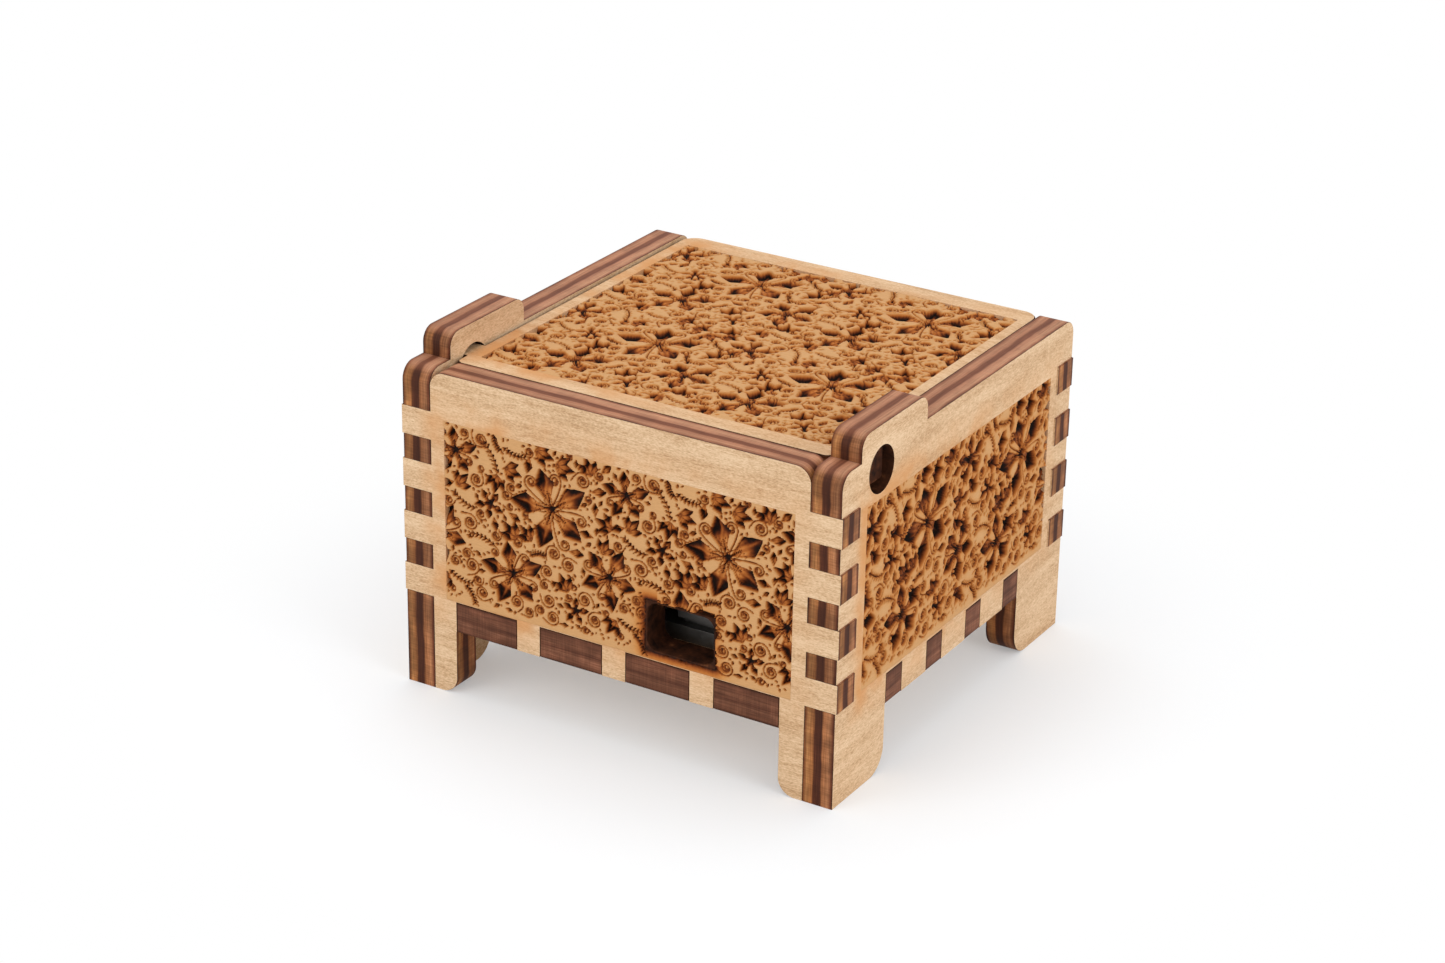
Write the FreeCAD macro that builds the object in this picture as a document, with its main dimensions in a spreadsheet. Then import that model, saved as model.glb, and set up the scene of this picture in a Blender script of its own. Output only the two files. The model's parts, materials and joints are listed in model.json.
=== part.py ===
import FreeCAD, Part
import math
import os
import re

# Wind-up music box of laser-cut plywood: a finger-jointed case on feet, a lid that turns on
# tab pivots, and a movement of spring barrel, pinned cylinder, comb and air-brake governor.
# Frame: origin on the standing surface under the middle of the case, +X along the hinge,
# +Y from the hinge wall to the front wall, +Z up. All lengths are in millimetres.

Vector = FreeCAD.Vector
Rotation = FreeCAD.Rotation

# Driving sizes: alias, value, meaning
SIZES = (
    ("box_width", 60.0, "case over the side walls"),
    ("box_depth", 58.0, "case over the hinge and front walls"),
    ("wall_top", 42.0, "top of the walls"),
    ("ply", 4.0, "plywood thickness"),
    ("floor_height", 8.5, "underside of the base panel"),
    ("finger_start", 12.4, "lowest corner finger"),
    ("finger_height", 3.7, "corner finger"),
    ("finger_pitch", 6.9, "corner finger spacing"),
    ("finger_count", 4, "corner fingers on each edge"),
    ("finger_proud", 0.2, "finger end past the side wall"),
    ("end_tab", 8.85, "base tab in the hinge and front walls"),
    ("end_tab_pitch", 12.15, "spacing of those tabs"),
    ("end_tab_count", 4, "tabs in each of those walls"),
    ("side_tab", 3.9, "base tab in the side walls"),
    ("side_tab_pitch", 10.0, "spacing of those tabs"),
    ("side_tab_count", 4, "tabs in each side wall"),
    ("end_foot", 3.3, "foot width on the hinge and front walls"),
    ("end_foot_round", 2.2, "its rounding"),
    ("side_foot", 12.0, "foot length on the side walls"),
    ("side_foot_round", 3.2, "its rounding"),
    ("wall_round", 2.0, "upper wall corners"),
    ("ear_start", 4.25, "ear from the outside of the hinge wall"),
    ("ear_length", 15.45, "ear along the side wall"),
    ("ear_rise", 3.2, "ear above the wall top"),
    ("ear_round", 1.8, "ear corners"),
    ("pivot_inset", 9.0, "lid axis from the outside of the hinge wall"),
    ("pivot_gap", 0.07, "pivot hole round the corners of the tab"),
    ("tab_recess", 1.0, "tab end below the outside of the side wall"),
    ("lid_drop", 0.35, "closed lid below the wall top"),
    ("lid_side_gap", 0.3, "lid to side wall"),
    ("lid_back_gap", 0.7, "lid to hinge wall"),
    ("lid_front_inset", 0.3, "lid edge behind the front wall's face"),
    ("lid_front_round", 2.3, "front lid corners"),
    ("lid_back_round", 1.0, "hinge-side lid corners"),
    ("window_x", 9.2, "middle of the window from the middle of the wall"),
    ("window_width", 9.15, "window"),
    ("window_sill", 1.35, "window above the base panel"),
    ("window_height", 6.15, "window"),
    ("window_round", 1.4, "window corners"),
    ("bed_plate", 2.0, "bedplate thickness"),
    ("bed_gap", 0.5, "bedplate to the walls"),
    ("bed_round", 2.0, "bedplate corners"),
    ("bed_well", 5.2, "half width of the well under the cylinder"),
    ("axis_rise", 6.5, "cylinder axis above the bedplate"),
    ("pinion_module", 0.6, "module of the crown and cylinder pinion"),
    ("crown_teeth", 42, "teeth on the barrel crown"),
    ("pinion_teeth", 15, "teeth on the cylinder pinion"),
    ("crown_face", 1.6, "crown teeth along the radius"),
    ("crown_foot", 0.65, "crown tooth below the pitch plane"),
    ("barrel_gap", 0.6, "barrel flange to the left wall"),
    ("flange_plate", 0.6, "barrel flange"),
    ("drum_radius", 10.6, "barrel drum outside"),
    ("drum_wall", 0.7, "barrel drum wall"),
    ("drum_height", 11.1, "barrel drum above the flange"),
    ("cover_plate", 0.6, "barrel cover"),
    ("spring_strip", 0.3, "mainspring strip"),
    ("spring_pitch", 0.8, "mainspring turn spacing"),
    ("spring_inner", 3.2, "mainspring inner radius"),
    ("spring_turns", 8, "mainspring turns"),
    ("spring_margin", 0.4, "mainspring to the barrel floor and cover"),
    ("post_radius", 1.5, "winding arbor"),
    ("hub_radius", 2.6, "winding arbor inside the barrel"),
    ("running_gap", 0.05, "radial clearance of every bearing"),
    ("bridge_gap", 0.35, "barrel cover to bridge"),
    ("bridge_plate", 1.2, "barrel bridge"),
    ("bridge_width", 6.0, "barrel bridge"),
    ("bridge_end", 2.2, "bridge past its pillar axis"),
    ("pillar_radius", 1.6, "bridge pillar"),
    ("pillar_gap", 0.3, "pillar to the barrel flange"),
    ("ratchet_radius", 5.0, "ratchet wheel"),
    ("ratchet_step", 0.8, "ratchet tooth depth"),
    ("ratchet_teeth", 16, "ratchet wheel"),
    ("ratchet_plate", 1.0, "ratchet wheel"),
    ("ratchet_lift", 0.2, "ratchet wheel above the bridge"),
    ("click_gap", 0.1, "click nose to the ratchet tips"),
    ("click_length", 6.0, "click"),
    ("click_width", 2.2, "click"),
    ("click_plate", 0.9, "click"),
    ("key_span", 18.0, "winding key over its wings"),
    ("key_ground", 1.2, "winding key above the standing surface"),
    ("key_gap", 0.6, "winding key below the base panel"),
    ("key_wing", 1.6, "wing thickness"),
    ("key_round", 2.4, "wing corners"),
    ("key_eye", 1.6, "hole in each wing"),
    ("key_hole", 3.0, "hole in the base panel round the arbor"),
    ("cylinder_radius", 5.6, "pinned cylinder"),
    ("pin_radius", 0.2, "cylinder pin"),
    ("pin_height", 0.45, "cylinder pin above the cylinder"),
    ("pin_root", 0.6, "cylinder pin below the surface"),
    ("pins_per_tooth", 3, "pins in each track"),
    ("shaft_radius", 1.0, "cylinder shaft"),
    ("gear_face", 1.0, "gear thickness"),
    ("bearing_plate", 0.8, "cylinder bearing plate"),
    ("bearing_gap", 0.3, "bearing plate to the turning pieces"),
    ("bearing_half", 3.0, "half width of a bearing plate"),
    ("bearing_head", 2.5, "bearing plate above the axis"),
    ("wheel_gap", 0.4, "cylinder wheel to its bearing"),
    ("cylinder_gap", 1.0, "cylinder to its wheel"),
    ("train_module", 0.4, "module of the governor train"),
    ("wheel_teeth", 40, "cylinder wheel"),
    ("arbor_teeth", 10, "governor pinion"),
    ("worm_wheel_teeth", 17, "worm wheel"),
    ("mesh_gap", 0.05, "extra centre distance of each mesh"),
    ("comb_teeth", 18, "comb"),
    ("comb_plate", 1.2, "comb"),
    ("comb_drop", 1.5, "comb underside below the cylinder axis"),
    ("comb_inset", 0.2, "comb inside the ends of the cylinder"),
    ("comb_back_gap", 2.0, "comb heel to the hinge wall"),
    ("comb_slot", 0.25, "slot between teeth"),
    ("heel_margin", 1.0, "comb heel past its block, behind the longest slot"),
    ("tooth_taper", 5.0, "shortest slot short of the longest"),
    ("pluck_gap", 0.1, "comb tip to the pins"),
    ("block_depth", 6.0, "comb block"),
    ("block_undercut", 1.5, "comb block past its foot"),
    ("block_foot", 1.15, "comb block foot"),
    ("arbor_radius", 0.6, "governor arbor and worm shaft"),
    ("frame_sheet", 0.8, "governor frame sheet"),
    ("cheek_gap", 0.9, "governor frame to the cylinder wheel"),
    ("cheek_half", 2.0, "half width of a governor cheek"),
    ("cheek_head", 2.2, "cheek above the arbor"),
    ("gov_width", 5.8, "governor frame over its cheeks"),
    ("gov_rise", 11.3, "governor frame above the cylinder axis"),
    ("arm_half", 1.5, "half width of the top arm"),
    ("worm_radius", 1.6, "worm pitch radius"),
    ("worm_turns", 4, "worm thread"),
    ("fan_radius", 3.2, "air-brake fan"),
    ("fan_gap", 0.25, "fan to the frame"),
    ("fan_lift", 4.0, "fan above the cylinder axis"),
    ("fan_height", 5.0, "fan blade"),
    ("fan_blade", 0.5, "fan blade thickness"),
    ("fan_hub", 1.2, "fan hub"),
    ("disc_radius", 2.4, "brake disc on the fan"),
    ("disc_plate", 0.6, "brake disc on the fan"),
    ("guide_reach", 4.4, "rod guides beside the governor"),
    ("guide_low", 2.5, "lower guide below the cylinder axis"),
    ("guide_high", 2.2, "upper guide above the cylinder axis"),
    ("rod_offset", 2.4, "stop rod beside the governor"),
    ("rod_radius", 0.8, "stop rod"),
    ("rod_gap", 0.1, "stop rod to lid, and its finger to the brake disc"),
    ("rod_foot", 4.3, "stop rod below the cylinder axis"),
    ("finger_plate", 0.6, "stop finger"),
    ("finger_reach", 0.6, "stop finger over the brake disc"),
    ("leaf_sheet", 0.25, "stop spring leaf"),
    ("leaf_half", 1.0, "half width of the stop spring"),
    ("screw_radius", 1.0, "movement screw"),
    ("screw_head", 1.8, "movement screw head"),
    ("screw_head_height", 0.9, "movement screw head"),
    ("screw_depth", 3.0, "thread in the piece below"),
    ("mount_radius", 1.2, "mounting screw"),
    ("mount_head", 2.3, "mounting screw head"),
    ("mount_head_height", 1.4, "mounting screw head"),
    ("mount_inset", 3.7, "mounting screw to the inner walls"),
)
TOOTH_SHARE = 0.38      # gear tooth's share of the pitch
TOOTH_TOP = 0.75        # gear tooth above the pitch line, in modules
TOOTH_FOOT = 1.1        # gear tooth below the pitch line, in modules
FLANK = math.tan(math.radians(20.0))
PIN_TURN = 137.5        # turn from one cylinder pin to the next, in degrees
COMB_SCREWS = (0.25, 0.75)      # places of the comb screws along the comb, as shares

doc = FreeCAD.newDocument("MusicBox")
sheet = doc.addObject("Spreadsheet::Sheet", "Sizes")
for row, (alias, value, meaning) in enumerate(SIZES, start=1):
    sheet.set(f"A{row}", meaning)
    sheet.set(f"B{row}", str(value))
    sheet.setAlias(f"B{row}", alias)
doc.recompute()

# Places that follow from the sizes, as expressions
HALF_X = "(box_width / 2)"
HALF_Y = "(box_depth / 2)"
IN_X = "(box_width / 2 - ply)"
IN_Y = "(box_depth / 2 - ply)"
BASE_TOP = "(floor_height + ply)"
LID_TOP = "(wall_top - lid_drop)"
LID_FLOOR = f"({LID_TOP} - ply)"
PIVOT_Y = f"(pivot_inset - {HALF_Y})"
PIVOT_Z = f"({LID_TOP} - ply / 2)"
PIVOT_R = f"(ply / 2 * {math.sqrt(2)} + pivot_gap)"
BED_TOP = f"({BASE_TOP} + bed_plate)"
AXIS_Z = f"({BED_TOP} + axis_rise)"
CROWN_R = "(pinion_module * crown_teeth / 2)"
PINION_R = "(pinion_module * pinion_teeth / 2)"
FLANGE_R = f"({CROWN_R} + crown_face / 2)"
FLANGE_TOP = f"({AXIS_Z} - {PINION_R} - crown_foot)"
BARREL_TOP = f"({FLANGE_TOP} + drum_height)"
BRIDGE_Z = f"({BARREL_TOP} + cover_plate + bridge_gap)"
BRIDGE_TOP = f"({BRIDGE_Z} + bridge_plate)"
BARREL_X = f"(barrel_gap + {FLANGE_R} - {IN_X})"
MESH_X = f"({BARREL_X} + {CROWN_R})"
WORM_Y = f"({IN_Y} - bed_gap - frame_sheet - fan_gap - fan_radius)"
ARBOR_Y = f"({WORM_Y} - worm_radius - train_module * worm_wheel_teeth / 2 - mesh_gap)"
CYL_Y = f"({ARBOR_Y} - train_module * (wheel_teeth + arbor_teeth) / 2 - mesh_gap)"
COMB_TIP = f"({CYL_Y} - cylinder_radius - pin_height - pluck_gap)"
COMB_BACK = f"(comb_back_gap - {IN_Y})"
COMB_Z = f"({AXIS_Z} - comb_drop)"
LEFT_BEARING = f"({BARREL_X} + {FLANGE_R} + bearing_gap)"
RIGHT_BEARING = f"({IN_X} - bed_gap - bearing_plate)"
WHEEL_X = f"({LEFT_BEARING} + bearing_plate + wheel_gap)"
CYL_START = f"({WHEEL_X} + gear_face + cylinder_gap)"
CYL_END = f"({RIGHT_BEARING} - bearing_gap)"
COMB_START = f"({CYL_START} + comb_inset)"
COMB_END = f"({CYL_END} - comb_inset)"
GOV_X = f"({WHEEL_X} + gear_face + cheek_gap)"
WORM_X = f"({GOV_X} + gov_width / 2)"
GOV_TOP = f"({AXIS_Z} + gov_rise)"
GOV_BACK = f"({IN_Y} - bed_gap)"
ROD_X = f"({GOV_X} + gov_width + rod_offset)"
ROD_FOOT = f"({AXIS_Z} - rod_foot)"
FAN_Z = f"({AXIS_Z} + fan_lift)"
DISC_TOP = f"({FAN_Z} + fan_height + disc_plate)"
PILLAR_Y = f"({FLANGE_R} + pillar_gap + pillar_radius)"
KEY_TOP = "(floor_height - key_gap)"

PLANE = {"x": "yz", "y": "xz", "z": "xy"}
ALONG = {
    "x": Rotation(Vector(0, 1, 0), 90),
    "y": Rotation(Vector(1, 0, 0), -90),
    "z": Rotation(),
}
pieces = []


def size(name):
    return float(getattr(sheet, name))


def count(name):
    return int(size(name))


def bound(expression):
    return re.sub(r"[a-z_]+", lambda word: "Sizes." + word.group(), str(expression))


def place(solid, **position):
    for axis, value in position.items():
        solid.setExpression("Placement.Base." + axis, bound(value))
    return solid


def block(name, **spans):
    """Box between a low and a high value along x, y and z."""
    solid = doc.addObject("Part::Box", name)
    for side, axis in zip(("Length", "Width", "Height"), "xyz"):
        low, high = spans[axis]
        solid.setExpression(side, bound(f"({high}) - ({low})"))
        place(solid, **{axis: low})
    return solid


def rod(name, axis, span, radius, **centre):
    """Cylinder along an axis, between the two values of span."""
    low, high = span
    solid = doc.addObject("Part::Cylinder", name)
    solid.Placement = FreeCAD.Placement(Vector(), ALONG[axis])
    solid.setExpression("Radius", bound(radius))
    solid.setExpression("Height", bound(f"({high}) - ({low})"))
    return place(solid, **{axis: low}, **centre)


def fuse(name, solids):
    whole = doc.addObject("Part::MultiFuse", name)
    whole.Shapes = solids
    whole.Refine = True
    return whole


def cut(name, base, tools):
    rest = doc.addObject("Part::Cut", name)
    rest.Base = base
    rest.Tool = tools[0] if len(tools) == 1 else fuse(name + "_waste", tools)
    return rest


def group(name, solids):
    bundle = doc.addObject("Part::Compound", name)
    bundle.Links = solids
    return bundle


def ring(name, axis, span, outer, inner, **centre):
    body = rod(name + "_body", axis, span, outer, **centre)
    return cut(name, body, [rod(name + "_bore", axis, span, inner, **centre)])


def corner(name, axis, spans, sides, radius):
    """What a rounded edge along axis loses; sides says which end of each span meets there."""
    square = {axis: spans[axis]}
    centre = {}
    for letter, high_side in zip(PLANE[axis], sides):
        low, high = spans[letter]
        inner = f"({high}) - {radius}" if high_side else f"({low}) + {radius}"
        square[letter] = (inner, high) if high_side else (low, inner)
        centre[letter] = inner
    round_off = rod(name + "_round", axis, spans[axis], radius, **centre)
    return cut(name, block(name + "_square", **square), [round_off])


def plate(name, axis, radius, corners, **spans):
    """Block whose edges along axis are rounded at the corners given as (low 0 or high 1) pairs."""
    if not corners:
        return block(name, **spans)
    blank = block(name + "_blank", **spans)
    waste = [
        corner(f"{name}_corner_{number}", axis, spans, sides, radius)
        for number, sides in enumerate(corners)
    ]
    return cut(name, blank, waste)


def solid_of(name, shape, rotation=Rotation(), **position):
    """Piece whose outline follows a formula, placed after its shape is set."""
    solid = doc.addObject("Part::Feature", name)
    solid.Shape = shape
    solid.Placement = FreeCAD.Placement(Vector(), rotation)
    return place(solid, **position)


def piece(solid):
    pieces.append(solid)
    return solid


ALL_CORNERS = ((0, 0), (0, 1), (1, 0), (1, 1))


def finger_spans():
    low = [f"(finger_start + {step} * finger_pitch)" for step in range(count("finger_count"))]
    return [(level, f"({level} + finger_height)") for level in low]


def tab_spans(tab):
    """Spans of the base tabs along one edge, even about its middle."""
    number = count(tab + "_count")
    middles = [f"({step - (number - 1) / 2}) * {tab}_pitch" for step in range(number)]
    return [(f"({middle} - {tab} / 2)", f"({middle} + {tab} / 2)") for middle in middles]


def mirrored(low, high, side):
    return (low, high) if side > 0 else (f"-({high})", f"-({low})")


def end_wall(name, side, top, corners, holes):
    """Hinge or front wall: panel with corner fingers, feet and the slots of the base tabs."""
    thick = mirrored(IN_Y, HALF_Y, side)
    across = (f"-{IN_X}", IN_X)
    tall = ("floor_height", top)
    parts = [plate(name + "_panel", "y", "wall_round", corners, x=across, y=thick, z=tall)]
    for end, low_side in ((-1, 1), (1, 0)):
        foot = mirrored(f"{IN_X} - end_foot", IN_X, end)
        foot_name = f"{name}_foot_{low_side}"
        parts.append(plate(foot_name, "y", "end_foot_round", ((low_side, 0),), x=foot, y=thick,
                           z=("0", "floor_height")))
        reach = mirrored(IN_X, f"{HALF_X} + finger_proud", end)
        for level, span in enumerate(finger_spans()):
            parts.append(block(f"{name}_finger_{low_side}_{level}", x=reach, y=thick, z=span))
    slots = [
        block(f"{name}_slot_{number}", x=span, y=thick, z=("floor_height", BASE_TOP))
        for number, span in enumerate(tab_spans("end_tab"))
    ]
    return piece(cut(name, fuse(name + "_whole", parts), slots + holes))


def side_wall(name, side):
    """Side wall: panel with an ear round the lid pivot, feet, finger notches and tab slots."""
    thick = mirrored(IN_X, HALF_X, side)
    along = (f"-{HALF_Y}", HALF_Y)
    ear = (f"(ear_start - {HALF_Y})", f"(ear_start + ear_length - {HALF_Y})")
    parts = [
        plate(name + "_panel", "x", "wall_round", ((0, 1), (1, 1)), x=thick, y=along,
              z=("floor_height", "wall_top")),
        plate(name + "_ear", "x", "ear_round", ((0, 1), (1, 1)), x=thick, y=ear,
              z=(PIVOT_Z, "wall_top + ear_rise")),
    ]
    waste = [rod(name + "_pivot", "x", thick, PIVOT_R, y=PIVOT_Y, z=PIVOT_Z)]
    for end, high_side in ((-1, 1), (1, 0)):
        foot = mirrored(f"{HALF_Y} - side_foot", HALF_Y, end)
        parts.append(plate(f"{name}_foot_{high_side}", "x", "side_foot_round", ((high_side, 0),),
                           x=thick, y=foot, z=("0", "floor_height")))
        notch = mirrored(IN_Y, HALF_Y, end)
        for level, span in enumerate(finger_spans()):
            waste.append(block(f"{name}_notch_{high_side}_{level}", x=thick, y=notch, z=span))
    for number, span in enumerate(tab_spans("side_tab")):
        waste.append(block(f"{name}_slot_{number}", x=thick, y=span, z=("floor_height", BASE_TOP)))
    return piece(cut(name, fuse(name + "_whole", parts), waste))


def base_panel():
    """Base panel with its tabs in all four walls, bored for the arbor and the mounting screws."""
    level = ("floor_height", BASE_TOP)
    parts = [block("base_sheet", x=(f"-{IN_X}", IN_X), y=(f"-{IN_Y}", IN_Y), z=level)]
    for number, span in enumerate(tab_spans("end_tab")):
        parts.append(block(f"base_end_tab_{number}", x=span, y=(f"-{HALF_Y}", HALF_Y), z=level))
    for number, span in enumerate(tab_spans("side_tab")):
        parts.append(block(f"base_side_tab_{number}", x=(f"-{HALF_X}", HALF_X), y=span, z=level))
    holes = [rod("base_arbor_hole", "z", level, "key_hole", x=BARREL_X, y=CYL_Y)]
    for number, (x, y) in enumerate(mount_places()):
        holes.append(rod(f"base_screw_hole_{number}", "z", level, "mount_radius", x=x, y=y))
    return piece(cut("base_panel", fuse("base_whole", parts), holes))


def mount_places():
    left = f"(mount_inset - {IN_X})"
    right = f"({IN_X} - mount_inset)"
    front = f"({IN_Y} - mount_inset)"
    back = f"({COMB_BACK} + mount_inset)"
    return ((left, back), (MESH_X, back), (left, front), (right, front))


def lid():
    """Lid with a square pivot tab at each end of its hinge axis."""
    level = (LID_FLOOR, LID_TOP)
    across = (f"lid_side_gap - {IN_X}", f"{IN_X} - lid_side_gap")
    front_half = plate("lid_front", "z", "lid_front_round", ((0, 1), (1, 1)), x=across,
                       y=(PIVOT_Y, f"{HALF_Y} - lid_front_inset"), z=level)
    back_half = plate("lid_back", "z", "lid_back_round", ((0, 0), (1, 0)), x=across,
                      y=(f"lid_back_gap - {IN_Y}", PIVOT_Y), z=level)
    tabs = block("lid_tabs", x=(f"tab_recess - {HALF_X}", f"{HALF_X} - tab_recess"),
                 y=(f"{PIVOT_Y} - ply / 2", f"{PIVOT_Y} + ply / 2"), z=level)
    return piece(fuse("lid", [front_half, back_half, tabs]))


def case():
    sill = f"({BASE_TOP} + window_sill)"
    window = plate("window", "y", "window_round", ALL_CORNERS,
                   x=("window_x - window_width / 2", "window_x + window_width / 2"),
                   y=(f"-{HALF_Y}", f"-{IN_Y}"), z=(sill, f"{sill} + window_height"))
    end_wall("hinge_wall", -1, "wall_top", ((0, 1), (1, 1)), [window])
    front_wall()
    side_wall("left_wall", -1)
    side_wall("right_wall", 1)
    base_panel()
    lid()


def front_wall():
    """Front wall, whose square top carries the lid."""
    return end_wall("front_wall", 1, LID_FLOOR, (), [])


def tooth_outline(teeth, module, phase):
    """Closed outline of a spur gear with straight flanks; phase turns its first tooth, in degrees."""
    pitch = module * teeth / 2
    half = TOOTH_SHARE * math.pi * module / 2
    radii = (pitch - TOOTH_FOOT * module, pitch + TOOTH_TOP * module)
    halves = (half + TOOTH_FOOT * module * FLANK, half - TOOTH_TOP * module * FLANK)
    points = []
    for tooth in range(teeth):
        middle = math.radians(phase) + 2 * math.pi * tooth / teeth
        for side, level in ((-1, 0), (-1, 1), (1, 1), (1, 0)):
            angle = middle + side * halves[level] / radii[level]
            points.append(Vector(radii[level] * math.cos(angle), radii[level] * math.sin(angle), 0))
    return Part.makePolygon(points + points[:1])


def gear_shape(teeth, module, bore, phase):
    face = size("gear_face")
    blank = Part.Face(tooth_outline(count(teeth), size(module), phase)).extrude(Vector(0, 0, face))
    return blank.cut(Part.makeCylinder(size(bore), face))


DOWN = 0.0       # phase of a tooth that points down on a gear about the X axis
FORWARD = 90.0   # phase of a tooth that points to +Y
SKIN = 0.1       # how deep a tooth or thread is set into its body


def crown_shape():
    """Teeth that stand on the barrel flange, with a gap on the +X side, where the pinion meshes."""
    teeth = count("crown_teeth")
    module = size("pinion_module")
    foot = size("crown_foot")
    half = TOOTH_SHARE * math.pi * module / 2
    inner = module * teeth / 2 - size("crown_face") / 2
    low = -foot - SKIN
    high = TOOTH_TOP * module
    wide = half + foot * FLANK
    narrow = half - high * FLANK
    section = ((-wide, low), (wide, low), (narrow, high), (-narrow, high))
    corners = [Vector(inner, y, z) for y, z in section]
    tooth = Part.Face(Part.makePolygon(corners + corners[:1])).extrude(Vector(size("crown_face"), 0, 0))
    step = 360.0 / teeth
    turned = []
    for number in range(teeth):
        copy = tooth.copy()
        copy.rotate(Vector(), Vector(0, 0, 1), (number + 0.5) * step)
        turned.append(copy)
    return Part.makeCompound(turned)


def spiral_shape():
    """Mainspring: a flat strip wound in half circles whose radius grows by half a pitch each."""
    pitch = size("spring_pitch")
    half = size("spring_strip") / 2
    inner = []
    outer = []
    for turn in range(2 * count("spring_turns")):
        upper = turn % 2 == 0
        middle = Vector(-pitch / 4 if upper else pitch / 4, 0, 0)
        start = 1 if upper else -1
        for edges, offset in ((inner, -half), (outer, half)):
            radius = size("spring_inner") + half + turn * pitch / 2 + offset
            ends = [middle + Vector(start * radius * way, 0, 0) for way in (1, -1)]
            top = middle + Vector(0, start * radius, 0)
            edges.append(Part.Arc(ends[0], top, ends[1]).toShape())
    caps = [
        Part.makeLine(inner[-1].lastVertex().Point, outer[-1].lastVertex().Point),
        Part.makeLine(inner[0].firstVertex().Point, outer[0].firstVertex().Point),
    ]
    wire = Part.Wire(Part.__sortEdges__(inner + outer + caps))
    height = size("drum_height") - 2 * size("spring_margin")
    return Part.Face(wire).extrude(Vector(0, 0, height))


def barrel():
    level = (f"{FLANGE_TOP} - flange_plate", FLANGE_TOP)
    centre = {"x": BARREL_X, "y": CYL_Y}
    flange = rod("barrel_flange", "z", level, FLANGE_R, **centre)
    drum = ring("barrel_drum", "z", (FLANGE_TOP, BARREL_TOP), "drum_radius", "drum_radius - drum_wall",
                **centre)
    crown = solid_of("barrel_crown", crown_shape(), z=f"{AXIS_Z} - {PINION_R}", **centre)
    bore = rod("barrel_bore", "z", level, "post_radius + running_gap", **centre)
    piece(cut("spring_barrel", fuse("barrel_whole", [flange, drum, crown]), [bore]))
    piece(ring("barrel_cover", "z", (BARREL_TOP, f"{BARREL_TOP} + cover_plate"), "drum_radius",
               "post_radius + running_gap", **centre))
    piece(solid_of("mainspring", spiral_shape(), z=f"{FLANGE_TOP} + spring_margin", **centre))


def ratchet_shape():
    """Saw-toothed wheel whose steep flanks face against the click."""
    teeth = count("ratchet_teeth")
    tip = size("ratchet_radius")
    root = tip - size("ratchet_step")
    points = []
    for tooth in range(teeth):
        angle = 2 * math.pi * tooth / teeth
        for radius in (root, tip):
            points.append(Vector(radius * math.cos(angle), radius * math.sin(angle), 0))
    plate_height = Vector(0, 0, size("ratchet_plate"))
    blank = Part.Face(Part.makePolygon(points + points[:1])).extrude(plate_height)
    return blank.cut(Part.makeCylinder(size("post_radius"), size("ratchet_plate")))


def winder():
    """Winding arbor through the barrel, with the ratchet wheel on top and the key below."""
    centre = {"x": BARREL_X, "y": CYL_Y}
    wheel_low = f"({BRIDGE_TOP} + ratchet_lift)"
    arbor_end = "(key_ground + key_wing)"
    post_span = (arbor_end, f"{wheel_low} + ratchet_plate + ratchet_lift")
    hub_span = (f"{FLANGE_TOP} + ratchet_lift", f"{BARREL_TOP} - ratchet_lift")
    post = rod("arbor_post", "z", post_span, "post_radius", **centre)
    hub = rod("arbor_hub", "z", hub_span, "hub_radius", **centre)
    piece(fuse("winding_arbor", [post, hub]))
    piece(solid_of("ratchet_wheel", ratchet_shape(), z=wheel_low, **centre))
    tall = ("key_ground", KEY_TOP)
    across = (f"{BARREL_X} - key_span / 2", f"{BARREL_X} + key_span / 2")
    thick = (f"{CYL_Y} - key_wing / 2", f"{CYL_Y} + key_wing / 2")
    wings = plate("key_wings", "y", "key_round", ALL_CORNERS, x=across, y=thick, z=tall)
    barrel_hub = rod("key_hub", "z", tall, "hub_radius", **centre)
    eyes = [
        rod(f"key_eye_{number}", "y", thick, "key_eye",
            x=f"{BARREL_X} + {side} * (key_span / 2 + hub_radius) / 2", z=f"(key_ground + {KEY_TOP}) / 2")
        for number, side in enumerate((-1, 1))
    ]
    bore = rod("key_bore", "z", (arbor_end, KEY_TOP), "post_radius", **centre)
    piece(cut("winding_key", fuse("key_whole", [wings, barrel_hub]), eyes + [bore]))


def screw(name, x, y, top, depth):
    """Screw whose head sits on top, with its shank reaching depth below."""
    head = rod(name + "_head", "z", (top, f"{top} + screw_head_height"), "screw_head", x=x, y=y)
    shank = rod(name + "_shank", "z", (f"{top} - ({depth})", top), "screw_radius", x=x, y=y)
    return fuse(name, [head, shank])


def screw_hole(name, x, y, span):
    return rod(name, "z", span, "screw_radius", x=x, y=y)


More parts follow.
